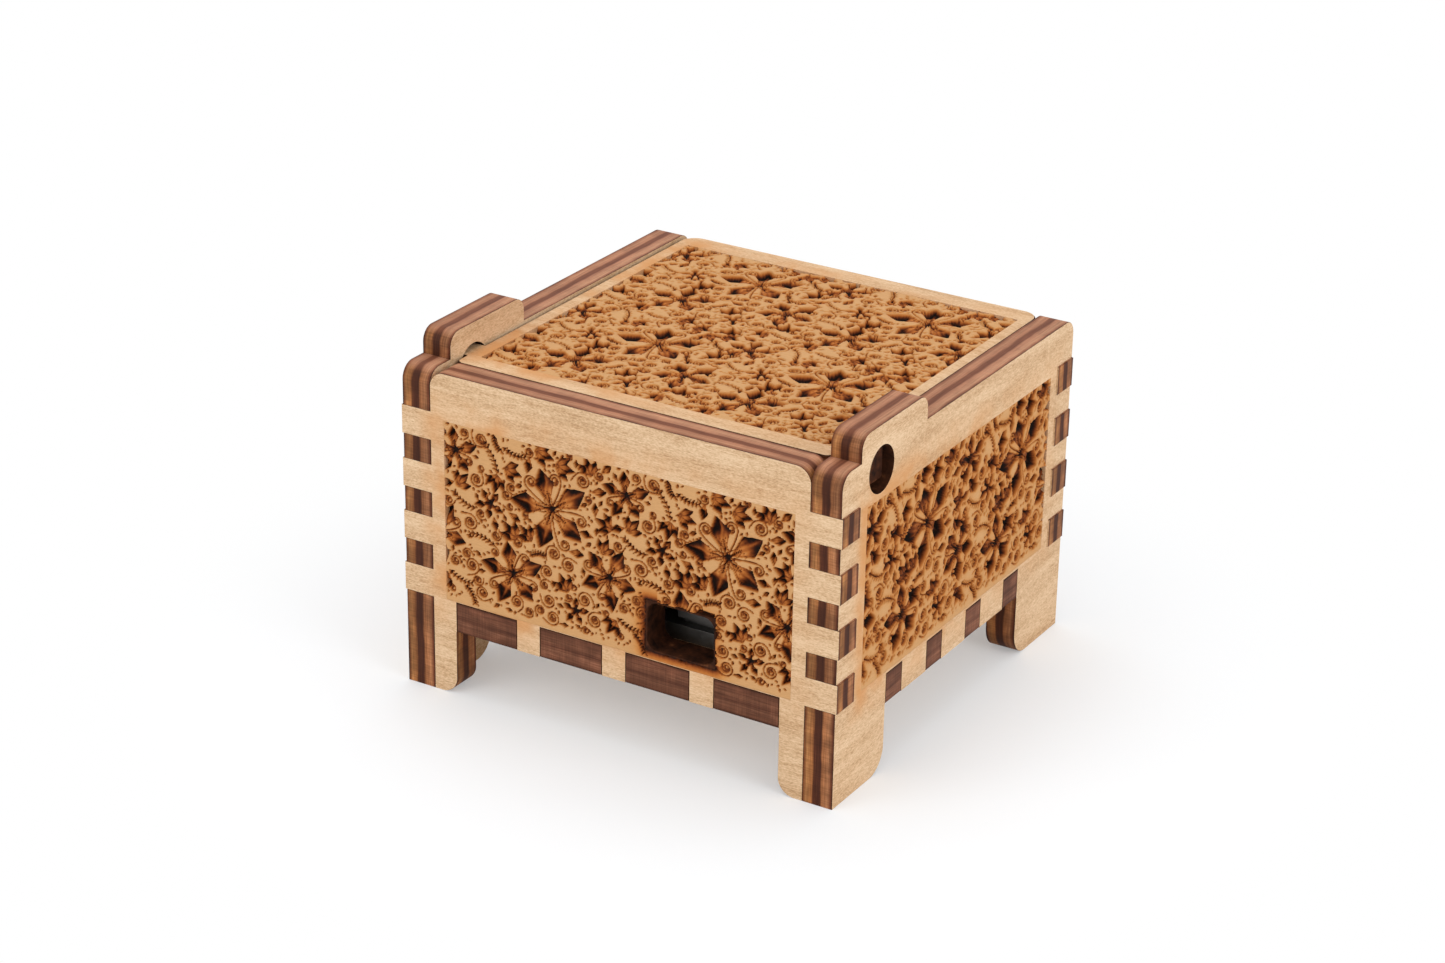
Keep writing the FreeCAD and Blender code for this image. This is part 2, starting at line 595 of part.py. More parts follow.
def bridge():
    """Bridge over the barrel on two pillars, with the click that holds the ratchet wheel."""
    places = [(number, f"{CYL_Y} + {side} * {PILLAR_Y}") for number, side in enumerate((-1, 1))]
    depth = "bridge_plate + screw_depth"
    click_end = f"({CYL_Y} - ratchet_radius - click_gap)"
    pivot_y = f"({click_end} - click_length + click_width / 2)"
    click_span = (BRIDGE_TOP, f"{BRIDGE_TOP} + click_plate")
    pillars = []
    screws = []
    level = (BRIDGE_Z, BRIDGE_TOP)
    bores = [
        rod("bridge_bore", "z", level, "post_radius + running_gap", x=BARREL_X, y=CYL_Y),
        screw_hole("click_bridge_hole", BARREL_X, pivot_y, level),
    ]
    for number, y in places:
        pillar = rod(f"pillar_{number}_post", "z", (BED_TOP, BRIDGE_Z), "pillar_radius", x=BARREL_X, y=y)
        thread_span = (f"{BRIDGE_Z} - screw_depth", BRIDGE_Z)
        thread = screw_hole(f"pillar_{number}_thread", BARREL_X, y, thread_span)
        pillars.append(cut(f"pillar_{number}", pillar, [thread]))
        screws.append(screw(f"bridge_screw_{number}", BARREL_X, y, BRIDGE_TOP, depth))
        bores.append(screw_hole(f"bridge_hole_{number}", BARREL_X, y, level))
    piece(group("bridge_pillars", pillars))
    piece(group("bridge_screws", screws))
    reach = f"({PILLAR_Y} + bridge_end)"
    bar = plate("bridge_bar", "z", "bridge_end", ALL_CORNERS,
                x=(f"{BARREL_X} - bridge_width / 2", f"{BARREL_X} + bridge_width / 2"),
                y=(f"{CYL_Y} - {reach}", f"{CYL_Y} + {reach}"), z=level)
    piece(cut("barrel_bridge", bar, bores))
    lever = plate("click_lever", "z", "click_width / 2", ((0, 0), (1, 0)),
                  x=(f"{BARREL_X} - click_width / 2", f"{BARREL_X} + click_width / 2"),
                  y=(f"{click_end} - click_length", click_end), z=click_span)
    piece(cut("click", lever, [screw_hole("click_hole", BARREL_X, pivot_y, click_span)]))
    piece(screw("click_screw", BARREL_X, pivot_y, f"({BRIDGE_TOP} + click_plate)",
                "click_plate + bridge_plate"))


def cylinder():
    """Pinned cylinder on its shaft, with the pinion that the barrel drives and the governor's wheel."""
    axis = {"y": CYL_Y, "z": AXIS_Z}
    span = (CYL_START, CYL_END)
    pins = []
    tracks = count("comb_teeth")
    for track in range(tracks):
        x = f"{COMB_START} + ({track} + 0.5) * ({COMB_END} - {COMB_START}) / {tracks}"
        for step in range(count("pins_per_tooth")):
            angle = math.radians(PIN_TURN * (track * count("pins_per_tooth") + step))
            root = "(cylinder_radius - pin_root)"
            pin = doc.addObject("Part::Cylinder", f"pin_{track}_{step}")
            pin.Placement = FreeCAD.Placement(Vector(), Rotation(Vector(1, 0, 0), math.degrees(angle)))
            pin.setExpression("Radius", bound("pin_radius"))
            pin.setExpression("Height", bound("pin_height + pin_root"))
            pins.append(place(pin, x=x, y=f"{CYL_Y} - {root} * {math.sin(angle):.6f}",
                              z=f"{AXIS_Z} + {root} * {math.cos(angle):.6f}"))
    drum = rod("cylinder_drum", "x", span, "cylinder_radius", **axis)
    bore = rod("cylinder_bore", "x", span, "shaft_radius", **axis)
    piece(cut("pinned_cylinder", fuse("cylinder_whole", [drum] + pins), [bore]))
    shaft_start = f"({MESH_X} - gear_face)"
    piece(rod("cylinder_shaft", "x", (shaft_start, f"{RIGHT_BEARING} + bearing_plate"), "shaft_radius",
              **axis))
    piece(solid_of("cylinder_pinion", gear_shape("pinion_teeth", "pinion_module", "shaft_radius", DOWN),
                   ALONG["x"], x=f"{MESH_X} - gear_face / 2", **axis))
    piece(solid_of("cylinder_wheel", gear_shape("wheel_teeth", "train_module", "shaft_radius", FORWARD),
                   ALONG["x"], x=WHEEL_X, **axis))
    for name, start in (("left_bearing", LEFT_BEARING), ("right_bearing", RIGHT_BEARING)):
        thick = (start, f"{start} + bearing_plate")
        cheek = plate(name + "_cheek", "x", "bearing_head", ((0, 1), (1, 1)), x=thick,
                      y=(f"{CYL_Y} - bearing_half", f"{CYL_Y} + bearing_half"),
                      z=(BED_TOP, f"{AXIS_Z} + bearing_head"))
        piece(cut(name, cheek, [rod(name + "_bore", "x", thick, "shaft_radius + running_gap", **axis)]))


def bedplate():
    """Bedplate on the base panel, open under the cylinder."""
    level = (BASE_TOP, BED_TOP)
    sheet_blank = plate("bed_sheet", "z", "bed_round", ALL_CORNERS,
                        x=(f"bed_gap - {IN_X}", f"{IN_X} - bed_gap"),
                        y=(f"{COMB_BACK} + bearing_gap", GOV_BACK), z=level)
    holes = [
        block("bed_well", x=(f"{WHEEL_X} - bearing_gap", f"{RIGHT_BEARING} - bearing_gap"),
              y=(f"{CYL_Y} - bed_well", f"{CYL_Y} + bed_well"), z=level),
        rod("bed_arbor_hole", "z", level, "post_radius + running_gap", x=BARREL_X, y=CYL_Y),
    ]
    screws = []
    for number, (x, y) in enumerate(mount_places()):
        holes.append(rod(f"bed_thread_{number}", "z", level, "mount_radius", x=x, y=y))
        shank = rod(f"mount_shank_{number}", "z", ("floor_height", BED_TOP), "mount_radius", x=x, y=y)
        head = rod(f"mount_head_{number}", "z", ("floor_height - mount_head_height", "floor_height"),
                   "mount_head", x=x, y=y)
        screws.append(fuse(f"mount_screw_{number}", [shank, head]))
    holes.append(screw_hole("bed_governor_thread", WORM_X, ARBOR_Y, level))
    piece(cut("bedplate", sheet_blank, holes))
    piece(group("mounting_screws", screws))


def comb():
    """Steel comb on its block, with two screws through its heel."""
    across = (COMB_START, COMB_END)
    top = f"({COMB_Z} + comb_plate)"
    foot_top = f"({BED_TOP} + block_foot)"
    front = f"{COMB_BACK} + block_depth"
    bar = block("block_bar", x=across, y=(COMB_BACK, front), z=(foot_top, COMB_Z))
    foot = block("block_stand", x=across, y=(f"{COMB_BACK} + block_undercut", front), z=(BED_TOP, foot_top))
    heel = block("comb_blank", x=across, y=(COMB_BACK, COMB_TIP), z=(COMB_Z, top))
    teeth = count("comb_teeth")
    pitch = f"(({COMB_END} - {COMB_START}) / {teeth})"
    slots = []
    for number in range(1, teeth):
        x = f"{COMB_START} + {number} * {pitch}"
        slot_end = f"{front} + heel_margin + {number / teeth} * tooth_taper"
        slots.append(block(f"comb_slot_{number}", x=(f"{x} - comb_slot / 2", f"{x} + comb_slot / 2"),
                           y=(slot_end, COMB_TIP), z=(COMB_Z, top)))
    screws = []
    threads = []
    for number, share in enumerate(COMB_SCREWS):
        x = f"{COMB_START} + {share} * ({COMB_END} - {COMB_START})"
        y = f"{COMB_BACK} + block_depth / 2"
        slots.append(screw_hole(f"comb_hole_{number}", x, y, (COMB_Z, top)))
        threads.append(screw_hole(f"block_thread_{number}", x, y, (f"{COMB_Z} - screw_depth", COMB_Z)))
        screws.append(screw(f"comb_screw_{number}", x, y, top, "comb_plate + screw_depth"))
    piece(cut("comb_block", fuse("block_whole", [bar, foot]), threads))
    piece(cut("comb", heel, slots))
    piece(group("comb_screws", screws))


def governor_frame():
    """Bent frame with two cheeks for the arbor, a top arm for the worm and two rod guides."""
    base = (BED_TOP, f"({BED_TOP} + frame_sheet)")
    right = f"({GOV_X} + gov_width)"
    back = (f"{GOV_BACK} - frame_sheet", GOV_BACK)
    cheeks = (GOV_X, f"({right} - frame_sheet)")
    cheek_y = (f"{ARBOR_Y} - cheek_half", f"{ARBOR_Y} + cheek_half")
    arm_z = (f"{GOV_TOP} - frame_sheet", GOV_TOP)
    guides = (f"({AXIS_Z} - guide_low)", f"({AXIS_Z} + guide_high)")
    parts = [
        block("frame_base", x=(GOV_X, right), y=(cheek_y[0], GOV_BACK), z=base),
        block("frame_back", x=(GOV_X, f"{right} + guide_reach"), y=back, z=(BED_TOP, GOV_TOP)),
        block("frame_arm", x=(f"{WORM_X} - arm_half", f"{WORM_X} + arm_half"),
              y=(f"{WORM_Y} - arm_half", GOV_BACK), z=arm_z),
    ]
    bore = "arbor_radius + running_gap"
    holes = [
        rod("frame_worm_foot", "z", base, bore, x=WORM_X, y=WORM_Y),
        rod("frame_worm_head", "z", arm_z, bore, x=WORM_X, y=WORM_Y),
    ]
    for number, x in enumerate(cheeks):
        thick = (x, f"{x} + frame_sheet")
        parts.append(plate(f"frame_cheek_{number}", "x", "cheek_half", ((0, 1), (1, 1)), x=thick, y=cheek_y,
                           z=(BED_TOP, f"{AXIS_Z} + cheek_head")))
        holes.append(rod(f"frame_cheek_bore_{number}", "x", thick, bore, y=ARBOR_Y, z=AXIS_Z))
    for number, z in enumerate(guides):
        tall = (z, f"{z} + frame_sheet")
        parts.append(block(f"frame_guide_{number}", x=(right, f"{right} + guide_reach"),
                           y=(f"{WORM_Y} - arm_half", GOV_BACK), z=tall))
        holes.append(rod(f"frame_guide_bore_{number}", "z", tall, "rod_radius + running_gap",
                         x=ROD_X, y=WORM_Y))
    holes.append(screw_hole("frame_hole", WORM_X, ARBOR_Y, base))
    piece(cut("governor_frame", fuse("frame_whole", parts), holes))
    piece(screw("governor_screw", WORM_X, ARBOR_Y, base[1], "frame_sheet + bed_plate"))


def worm_shape():
    """Right-handed single thread round the worm's core."""
    module = size("train_module")
    lead = math.pi * module
    half = TOOTH_SHARE * lead / 2
    root = size("worm_radius") - TOOTH_FOOT * module - SKIN
    tip = size("worm_radius") + TOOTH_TOP * module
    wide = half + (TOOTH_FOOT * module + SKIN) * FLANK
    narrow = half - TOOTH_TOP * module * FLANK
    corners = [Vector(r, 0, z) for r, z in ((root, -wide), (tip, -narrow), (tip, narrow), (root, wide))]
    helix = Part.makeHelix(lead, lead * count("worm_turns"), size("worm_radius"))
    return Part.Wire(helix.Edges).makePipeShell([Part.makePolygon(corners + corners[:1])], True, True)


def governor():
    """Arbor with its pinion and worm wheel, and the worm shaft with the air-brake fan."""
    axis = {"y": ARBOR_Y, "z": AXIS_Z}
    gap_phase = -FORWARD + 180.0 / count("arbor_teeth")
    leaves = solid_of("arbor_leaves", gear_shape("arbor_teeth", "train_module", "arbor_radius", gap_phase),
                      ALONG["x"], x=WHEEL_X, **axis)
    stem = rod("arbor_stem", "x", (WHEEL_X, f"{GOV_X} + gov_width"), "arbor_radius", **axis)
    piece(fuse("governor_arbor", [leaves, stem]))
    piece(solid_of("worm_wheel", gear_shape("worm_wheel_teeth", "train_module", "arbor_radius", FORWARD),
                   ALONG["x"], x=f"{WORM_X} - gear_face / 2", **axis))
    centre = {"x": WORM_X, "y": WORM_Y}
    lead = f"({math.pi} * train_module)"
    thread_low = f"({AXIS_Z} - (worm_turns / 2 + 0.25) * {lead})"
    thread = solid_of("worm_thread", worm_shape(), z=thread_low, **centre)
    core_span = (f"{thread_low} - {lead} / 2", f"{thread_low} + (worm_turns + 0.5) * {lead}")
    core = rod("worm_core", "z", core_span, f"worm_radius - {TOOTH_FOOT} * train_module", **centre)
    stem_low = f"({BED_TOP} + running_gap)"
    worm_stem = rod("worm_stem", "z", (stem_low, GOV_TOP), "arbor_radius", **centre)
    piece(fuse("worm_shaft", [core, worm_stem, thread]))
    fan_span = (FAN_Z, f"{FAN_Z} + fan_height")
    hub = rod("fan_hub_blank", "z", fan_span, "fan_hub", **centre)
    blade = block("fan_blades", x=(f"{WORM_X} - fan_radius", f"{WORM_X} + fan_radius"),
                  y=(f"{WORM_Y} - fan_blade / 2", f"{WORM_Y} + fan_blade / 2"), z=fan_span)
    disc = rod("fan_disc", "z", (fan_span[1], DISC_TOP), "disc_radius", **centre)
    bore = rod("fan_bore", "z", (FAN_Z, DISC_TOP), "arbor_radius", **centre)
    piece(cut("fan", fuse("fan_whole", [hub, blade, disc]), [bore]))


def stop():
    """Stop rod that the closed lid holds down on the brake disc, and the leaf spring that lifts it."""
    stem = rod("rod_stem", "z", (ROD_FOOT, f"{LID_FLOOR} - rod_gap"), "rod_radius", x=ROD_X, y=WORM_Y)
    finger_low = f"({DISC_TOP} + rod_gap)"
    finger = block("rod_finger", x=(f"{WORM_X} + disc_radius - finger_reach", ROD_X),
                   y=(f"{WORM_Y} - rod_radius", f"{WORM_Y} + rod_radius"),
                   z=(finger_low, f"{finger_low} + finger_plate"))
    piece(fuse("stop_rod", [stem, finger]))
    leg_x = f"({GOV_X} + gov_width + running_gap)"
    leaf_top = f"({ROD_FOOT} - running_gap)"
    wide = (f"{WORM_Y} - leaf_half", f"{WORM_Y} + leaf_half")
    leg = block("leaf_leg", x=(leg_x, f"{leg_x} + leaf_sheet"), y=wide, z=(BED_TOP, leaf_top))
    leaf = block("leaf_tongue", x=(leg_x, f"{ROD_X} + rod_radius"), y=wide,
                 z=(f"{leaf_top} - leaf_sheet", leaf_top))
    piece(fuse("stop_spring", [leg, leaf]))


case()
bedplate()
barrel()
winder()
bridge()
cylinder()
comb()
governor_frame()
governor()
stop()
doc.recompute()

for item in doc.Objects:
    if "Invalid" in item.State or "Error" in item.State:
        raise RuntimeError(f"{item.Label} failed: {item.State}")
for item in pieces:
    if item.Shape.isNull() or not item.Shape.isValid():
        raise RuntimeError(f"{item.Label} has no valid shape")

os.makedirs("parts", exist_ok=True)
for item in pieces:
    item.Shape.exportStep(f"parts/{item.Label}.step")
    print(item.Label, len(item.Shape.Solids), round(item.Shape.Volume, 2))
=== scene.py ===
import json
import math
import random

import bpy
import numpy as np
from mathutils import Matrix, Vector

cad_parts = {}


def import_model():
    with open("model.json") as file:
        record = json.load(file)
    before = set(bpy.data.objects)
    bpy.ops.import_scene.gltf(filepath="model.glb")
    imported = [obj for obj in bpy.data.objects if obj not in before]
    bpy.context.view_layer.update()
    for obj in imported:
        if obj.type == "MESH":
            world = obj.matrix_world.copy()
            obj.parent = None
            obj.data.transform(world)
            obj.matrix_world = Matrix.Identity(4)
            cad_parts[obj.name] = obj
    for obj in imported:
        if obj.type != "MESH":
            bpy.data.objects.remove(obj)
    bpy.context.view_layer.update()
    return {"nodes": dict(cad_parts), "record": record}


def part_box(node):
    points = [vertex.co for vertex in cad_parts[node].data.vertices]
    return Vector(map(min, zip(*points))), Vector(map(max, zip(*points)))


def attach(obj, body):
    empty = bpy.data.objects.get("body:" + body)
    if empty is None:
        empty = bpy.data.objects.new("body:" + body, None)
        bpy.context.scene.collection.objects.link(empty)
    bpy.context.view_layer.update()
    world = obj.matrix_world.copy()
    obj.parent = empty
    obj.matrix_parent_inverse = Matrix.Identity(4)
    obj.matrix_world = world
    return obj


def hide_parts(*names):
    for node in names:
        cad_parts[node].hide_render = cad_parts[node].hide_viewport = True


# Looks of a wind-up music box: engraved plywood panels round a metal movement.
# Lengths of the object are in millimetres, and MM turns them into the frame's metres.
# Camera, floor and lamps are in metres.

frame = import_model()

MM = 0.001
PLY = 4.0 * MM
AXES = {"x": 0, "y": 1, "z": 2}
FULL_TURN = 2 * math.pi

# Camera at the photograph's viewing angle
CAMERA_PLACE = (0.19589, -0.33211, 0.19493)
CAMERA_TURN = 30.895
CAMERA_PITCH = 24.001
CAMERA_ROLL = 1.050
CAMERA_LENS = 85.365
CAMERA_SENSOR = 36.0
CAMERA_NEAR = 0.01

# Floor and light; a lamp has a name, a place, a size and a power
FLOOR_SIZE = 4.0
FLOOR_SHADE = (0.92, 0.945, 0.97, 1.0)
SHADOW_REACH = (0.040, 0.080)
SHADOW_FADE = 0.30
WORLD_LIGHT = 0.70
WHITE = (1.0, 1.0, 1.0, 1.0)
LAMPS = (
    ("left_lamp", (-0.30, -0.62, 0.42), 0.50, 1.6),
    ("right_lamp", (0.70, -0.10, 0.40), 0.50, 1.95),
    ("top_lamp", (-0.10, 0.15, 0.80), 0.60, 1.6),
)
AIM = (0.0, 0.0, 0.02)

# Engraved layers: side of the ornament's square repeat, spacing of their grids, and how they are let in
REPEAT = 24.1
RELIEF_STEP = 0.13
LID_STEP = 0.16
SURFACE_SKIN = 0.004
POCKET_DEPTH = 1.3
POCKET_SLACK = 1.0
SKIRT_STEP = 0.1
LAYER_OVERLAP = 0.02
WARMTH_ROUNDS = 34

# Edges: charred corners of the cuts, the window's rim, broken edges and slots of the metal pieces
BURNT_EDGE = 0.15
WINDOW_RIM = 0.18
BROKEN_EDGE = 0.07
SLOT_WIDTH = 0.34
SLOT_DEPTH = 0.30
SLOT_REACH = 0.6
SHARP_ANGLE = 40.0
SMOOTH_ANGLE = 20.0
FLAT_ANGLE = 0.5
MERGE_GAP = 0.001


def linear(red, green, blue):
    """Linear colour of an 8-bit display colour."""
    parts = []
    for value in (red, green, blue):
        share = value / 255.0
        low = share / 12.92
        high = ((share + 0.055) / 1.055) ** 2.4
        parts.append(low if share <= 0.04045 else high)
    return (*parts, 1.0)


def select_only(*objects):
    bpy.ops.object.select_all(action="DESELECT")
    for item in objects:
        item.select_set(True)
    bpy.context.view_layer.objects.active = objects[0]


def main_axis(way):
    """Letter of the axis that a direction runs along."""
    return max("xyz", key=lambda letter: abs(way[AXES[letter]]))


# Materials

class Nodes:
    """Node tree under construction: adds nodes and links them."""

    def __init__(self, tree):
        self.tree = tree

    def add(self, kind, **settings):
        node = self.tree.nodes.new("ShaderNode" + kind)
        for key, value in settings.items():
            setattr(node, key, value)
        return node

    def link(self, source, target):
        self.tree.links.new(source, target)

    def feed(self, target, value):
        """A socket takes a link from another socket, or a plain value."""
        if isinstance(value, bpy.types.NodeSocket):
            self.link(value, target)
        else:
            target.default_value = value

    def math(self, operation, first, second=0.0):
        node = self.add("Math", operation=operation)
        self.feed(node.inputs[0], first)
        self.feed(node.inputs[1], second)
        return node.outputs[0]

    def plus(self, first, second):
        return self.math("ADD", first, second)

    def minus(self, first, second):
        return self.math("SUBTRACT", first, second)

    def times(self, first, second):
        return self.math("MULTIPLY", first, second)

    def spread(self, value, low, high, start=0.0, end=1.0):
        """Smooth step from start, where the value is low, to end, where it is high."""
        node = self.add("MapRange", interpolation_type="SMOOTHSTEP")
        self.feed(node.inputs["Value"], value)
        node.inputs["From Min"].default_value = low
        node.inputs["From Max"].default_value = high
        node.inputs["To Min"].default_value = start
        node.inputs["To Max"].default_value = end
        return node.outputs[0]

    def seen_directly(self):
        """1 for rays from the camera, a mirror or glass, and 0 for rays that carry light."""
        rays = self.add("LightPath").outputs
        pair = self.math("MAXIMUM", rays["Is Camera Ray"], rays["Is Glossy Ray"])
        return self.math("MAXIMUM", pair, rays["Is Transmission Ray"])


class Finish(Nodes):
    """Material under construction."""

    def __init__(self, name):
        self.material = bpy.data.materials.new(name)
        self.material.use_nodes = True
        super().__init__(self.material.node_tree)
        self.shader = self.tree.nodes["Principled BSDF"]

    def place(self):
        return self.add("TexCoord").outputs["Object"]

    def part(self, axis):
        """One coordinate of the point, in metres."""
        node = self.add("SeparateXYZ")
        self.link(self.place(), node.inputs[0])
        return node.outputs[AXES[axis]]

    def attribute(self, name):
        return self.add("Attribute", attribute_name=name).outputs["Fac"]

    def noise(self, marks, detail=2.0, roughness=0.55):
        """Noise on Object coordinates whose marks have a length in millimetres along each axis."""
        mapping = self.add("Mapping")
        self.link(self.place(), mapping.inputs["Vector"])
        mapping.inputs["Scale"].default_value = [1.0 / MM / length for length in marks]
        node = self.add("TexNoise")
        self.link(mapping.outputs[0], node.inputs["Vector"])
        node.inputs["Scale"].default_value = 1.0
        node.inputs["Detail"].default_value = detail
        node.inputs["Roughness"].default_value = roughness
        return node.outputs["Fac"]

    def ramp(self, value, stops):
        """Colour ramp through (place, colour) stops."""
        node = self.add("ValToRGB")
        elements = node.color_ramp.elements
        while len(elements) < len(stops):
            elements.new(1.0)
        for element, (position, shade) in zip(elements, stops):
            element.position = position
            element.color = shade
        self.feed(node.inputs["Fac"], value)
        return node.outputs["Color"]

    def blend(self, share, first, second, kind="MIX"):
        node = self.add("MixRGB", blend_type=kind)
        self.feed(node.inputs["Fac"], share)
        self.feed(node.inputs["Color1"], first)
        self.feed(node.inputs["Color2"], second)
        return node.outputs["Color"]

    def bump(self, height, strength, distance):
        node = self.add("Bump")
        self.link(height, node.inputs["Height"])
        node.inputs["Strength"].default_value = strength
        node.inputs["Distance"].default_value = distance * MM
        self.link(node.outputs[0], self.shader.inputs["Normal"])

    def colour(self, value):
        self.feed(self.shader.inputs["Base Color"], value)

    def set(self, **values):
        for key, value in values.items():
            self.shader.inputs[key.replace("_", " ")].default_value = value


def lined(axis, length, width):
    """Marks of a noise that are length long along one axis and width along the others."""
    marks = [width, width, width]
    marks[AXES[axis]] = length
    return marks


def even(size):
    return (size, size, size)


# Veneer: length and width of its marks along the grain, and the share of each in the tone
FIBRES = (1.2, 0.08)
FIBRE_SHARE = 0.42
BANDS = (14.0, 1.6)
BAND_SHARE = 0.26
SPECKS = (0.35, 0.16)
SPECK_SHARE = 0.32
WOOD_TONES = (
    (0.39, linear(182, 142, 102)),
    (0.49, linear(211, 175, 136)),
    (0.59, linear(229, 197, 160)),
)

# Toast of the veneer round an engraved field, heavier at the field's left end
TOASTED = linear(206, 146, 90)
TOAST_REACH = 4.5
TOAST_PATCH = 5.0
TOAST_PATCHES = (0.35, 0.65, 0.25, 1.0)
TOAST_ENDS = (0.95, 0.25)
TOASTED_PLY = (0.75, 0.25)


def wood_colour(finish, grain):
    """Bare veneer: short fibres and dark pores along the grain over a soft mottle."""
    fibres = finish.noise(lined(grain, *FIBRES), detail=3.0, roughness=0.7)
    bands = finish.noise(lined(grain, *BANDS))
    specks = finish.noise(lined(grain, *SPECKS))
    tone = finish.plus(finish.times(fibres, FIBRE_SHARE), finish.times(bands, BAND_SHARE))
    tone = finish.plus(tone, finish.times(specks, SPECK_SHARE))
    return finish.ramp(tone, WOOD_TONES), fibres


def near_field(finish, carving):
    """Nearness of a point of the face to the engraved field: 1 at its border, 0 some way off."""
    sides = []
    for axis, middle, half in carving.rectangle():
        offset = finish.minus(finish.part(axis), middle)
        sides.append(finish.minus(finish.math("ABSOLUTE", offset), half))
    distance = finish.math("MAXIMUM", sides[0], sides[1])
    return finish.spread(distance, 0.0, TOAST_REACH * MM, 1.0, 0.0)


def outer_side(finish, carving):
    """1 on the face that is engraved, 0 on the other."""
    axis = main_axis(carving.out)
    height = finish.times(finish.part(axis), carving.out[AXES[axis]])
    inner, outer = (carving.level * MM - PLY * share for share in TOASTED_PLY)
    return finish.spread(height, inner, outer)


def veneer(name, grain, carving=None):
    """Face of a panel, toasted where the heat of the engraving has reached it."""
    finish = Finish(name)
    shade, fibres = wood_colour(finish, grain)
    if carving:
        patches = finish.spread(finish.noise(even(TOAST_PATCH)), *TOAST_PATCHES)
        axis, middle, half = carving.rectangle()[0]
        way = carving.right[AXES[axis]]
        ends = finish.spread(finish.part(axis), middle - half * way, middle + half * way, *TOAST_ENDS)
        share = finish.times(finish.times(near_field(finish, carving), patches), ends)
        share = finish.times(share, outer_side(finish, carving))
        shade = finish.blend(share, shade, TOASTED)
    finish.colour(shade)
    finish.set(Roughness=0.72, Specular_IOR_Level=0.18)
    finish.bump(fibres, strength=0.18, distance=0.04)
    return finish.material


# Cut edges: colours of the plies through the thickness, on upright edges, on crests and on the base
WALL_PLIES = (
    (0.00, linear(58, 30, 19)),
    (0.05, linear(148, 90, 54)),
    (0.14, linear(198, 138, 84)),
    (0.31, linear(180, 116, 68)),
    (0.36, linear(92, 50, 32)),
    (0.58, linear(78, 41, 27)),
    (0.64, linear(176, 114, 72)),
    (0.84, linear(192, 132, 90)),
    (0.93, linear(132, 76, 50)),
    (1.00, linear(58, 30, 19)),
)
CREST_PLIES = (
    (0.00, linear(98, 60, 45)),
    (0.06, linear(152, 98, 72)),
    (0.18, linear(190, 136, 104)),
    (0.34, linear(178, 122, 92)),
    (0.40, linear(128, 78, 56)),
    (0.56, linear(122, 73, 53)),
    (0.62, linear(182, 127, 97)),
    (0.86, linear(198, 146, 113)),
    (0.94, linear(160, 105, 78)),
    (1.00, linear(98, 60, 45)),
)
BASE_PLIES = (
    (0.00, linear(60, 32, 21)),
    (0.10, linear(132, 84, 62)),
    (0.34, linear(148, 98, 74)),
    (0.46, linear(116, 71, 52)),
    (0.62, linear(144, 94, 70)),
    (0.90, linear(128, 80, 59)),
    (1.00, linear(60, 32, 21)),
)
CHARRED = linear(52, 27, 16)

# Marks of a cut edge: streaks along the plies, lines of the beam across them, wobble and scorch
STREAKS = (0.17, 6.0)
STREAK_TONES = ((0.32, (0.50, 0.45, 0.41, 1.0)), (0.60, (1.14, 1.11, 1.08, 1.0)))
CREST_STREAKS = 0.7
BEAM_LINES = (4.0, 0.20)
BEAM_CHAR = (0.36, 0.64, 0.5, 0.0)
WOBBLE = 5.0
WOBBLE_SHIFT = 0.16
SCORCH = 4.5
SCORCH_CHAR = (0.40, 0.66, 1.0, 0.0)
CREST_TURN = (0.50, 0.98)
SIDE_BURN = 0.50
CREST_BURN = 0.18


def cut_edge(name, thickness, low, plies):
    """Laser-cut edge: plies as stripes, streaked and scorched along it, less so where it faces up."""
    finish = Finish(name)
    crest = finish.spread(finish.attribute("crest"), *CREST_TURN)
    burn = finish.spread(crest, 0.0, 1.0, SIDE_BURN, CREST_BURN)
    depth = finish.math("DIVIDE", finish.minus(finish.part(thickness), low), PLY)
    wobble = finish.minus(finish.noise(even(WOBBLE)), 0.5)
    across = finish.plus(depth, finish.times(wobble, WOBBLE_SHIFT))
    shade = finish.blend(crest, finish.ramp(across, plies), finish.ramp(across, CREST_PLIES))
    streaks = finish.noise(lined(thickness, *STREAKS), detail=4.0, roughness=0.75)
    streaked = finish.spread(crest, 0.0, 1.0, 1.0, CREST_STREAKS)
    shade = finish.blend(streaked, shade, finish.ramp(streaks, STREAK_TONES), kind="MULTIPLY")
    scorch = finish.noise(even(SCORCH), detail=3.0)
    shade = finish.blend(finish.times(finish.spread(scorch, *SCORCH_CHAR), burn), shade, CHARRED)
    beam = finish.noise(lined(thickness, *BEAM_LINES))
    shade = finish.blend(finish.times(finish.spread(beam, *BEAM_CHAR), burn), shade, CHARRED)
    finish.colour(shade)
    finish.set(Roughness=0.58, Specular_IOR_Level=0.12)
    finish.bump(beam, strength=0.25, distance=0.05)
    return finish.material


LINE_SOOT = ((0.30, linear(30, 15, 9)), (0.75, linear(92, 54, 33)))
# Soot of the window and pivot holes: char, darkened further as painted shade in these recesses
BORE_SOOT_AND_SHADE = ((0.30, linear(30, 15, 9)), (0.62, linear(70, 38, 22)), (0.80, linear(120, 72, 42)))


def char_and_shade_finish(name, patch, tones, roughness, crust=0.0):
    """Charred cut, patchy with soot and with a crust in the openings, where its dark is partly painted
    shade.
    """
    finish = Finish(name)
    soot = finish.noise(even(patch), detail=3.0)
    finish.colour(finish.ramp(soot, tones))
    finish.set(Roughness=roughness, Specular_IOR_Level=0.08)
    if crust:
        finish.bump(soot, strength=crust, distance=0.1)
    return finish.material


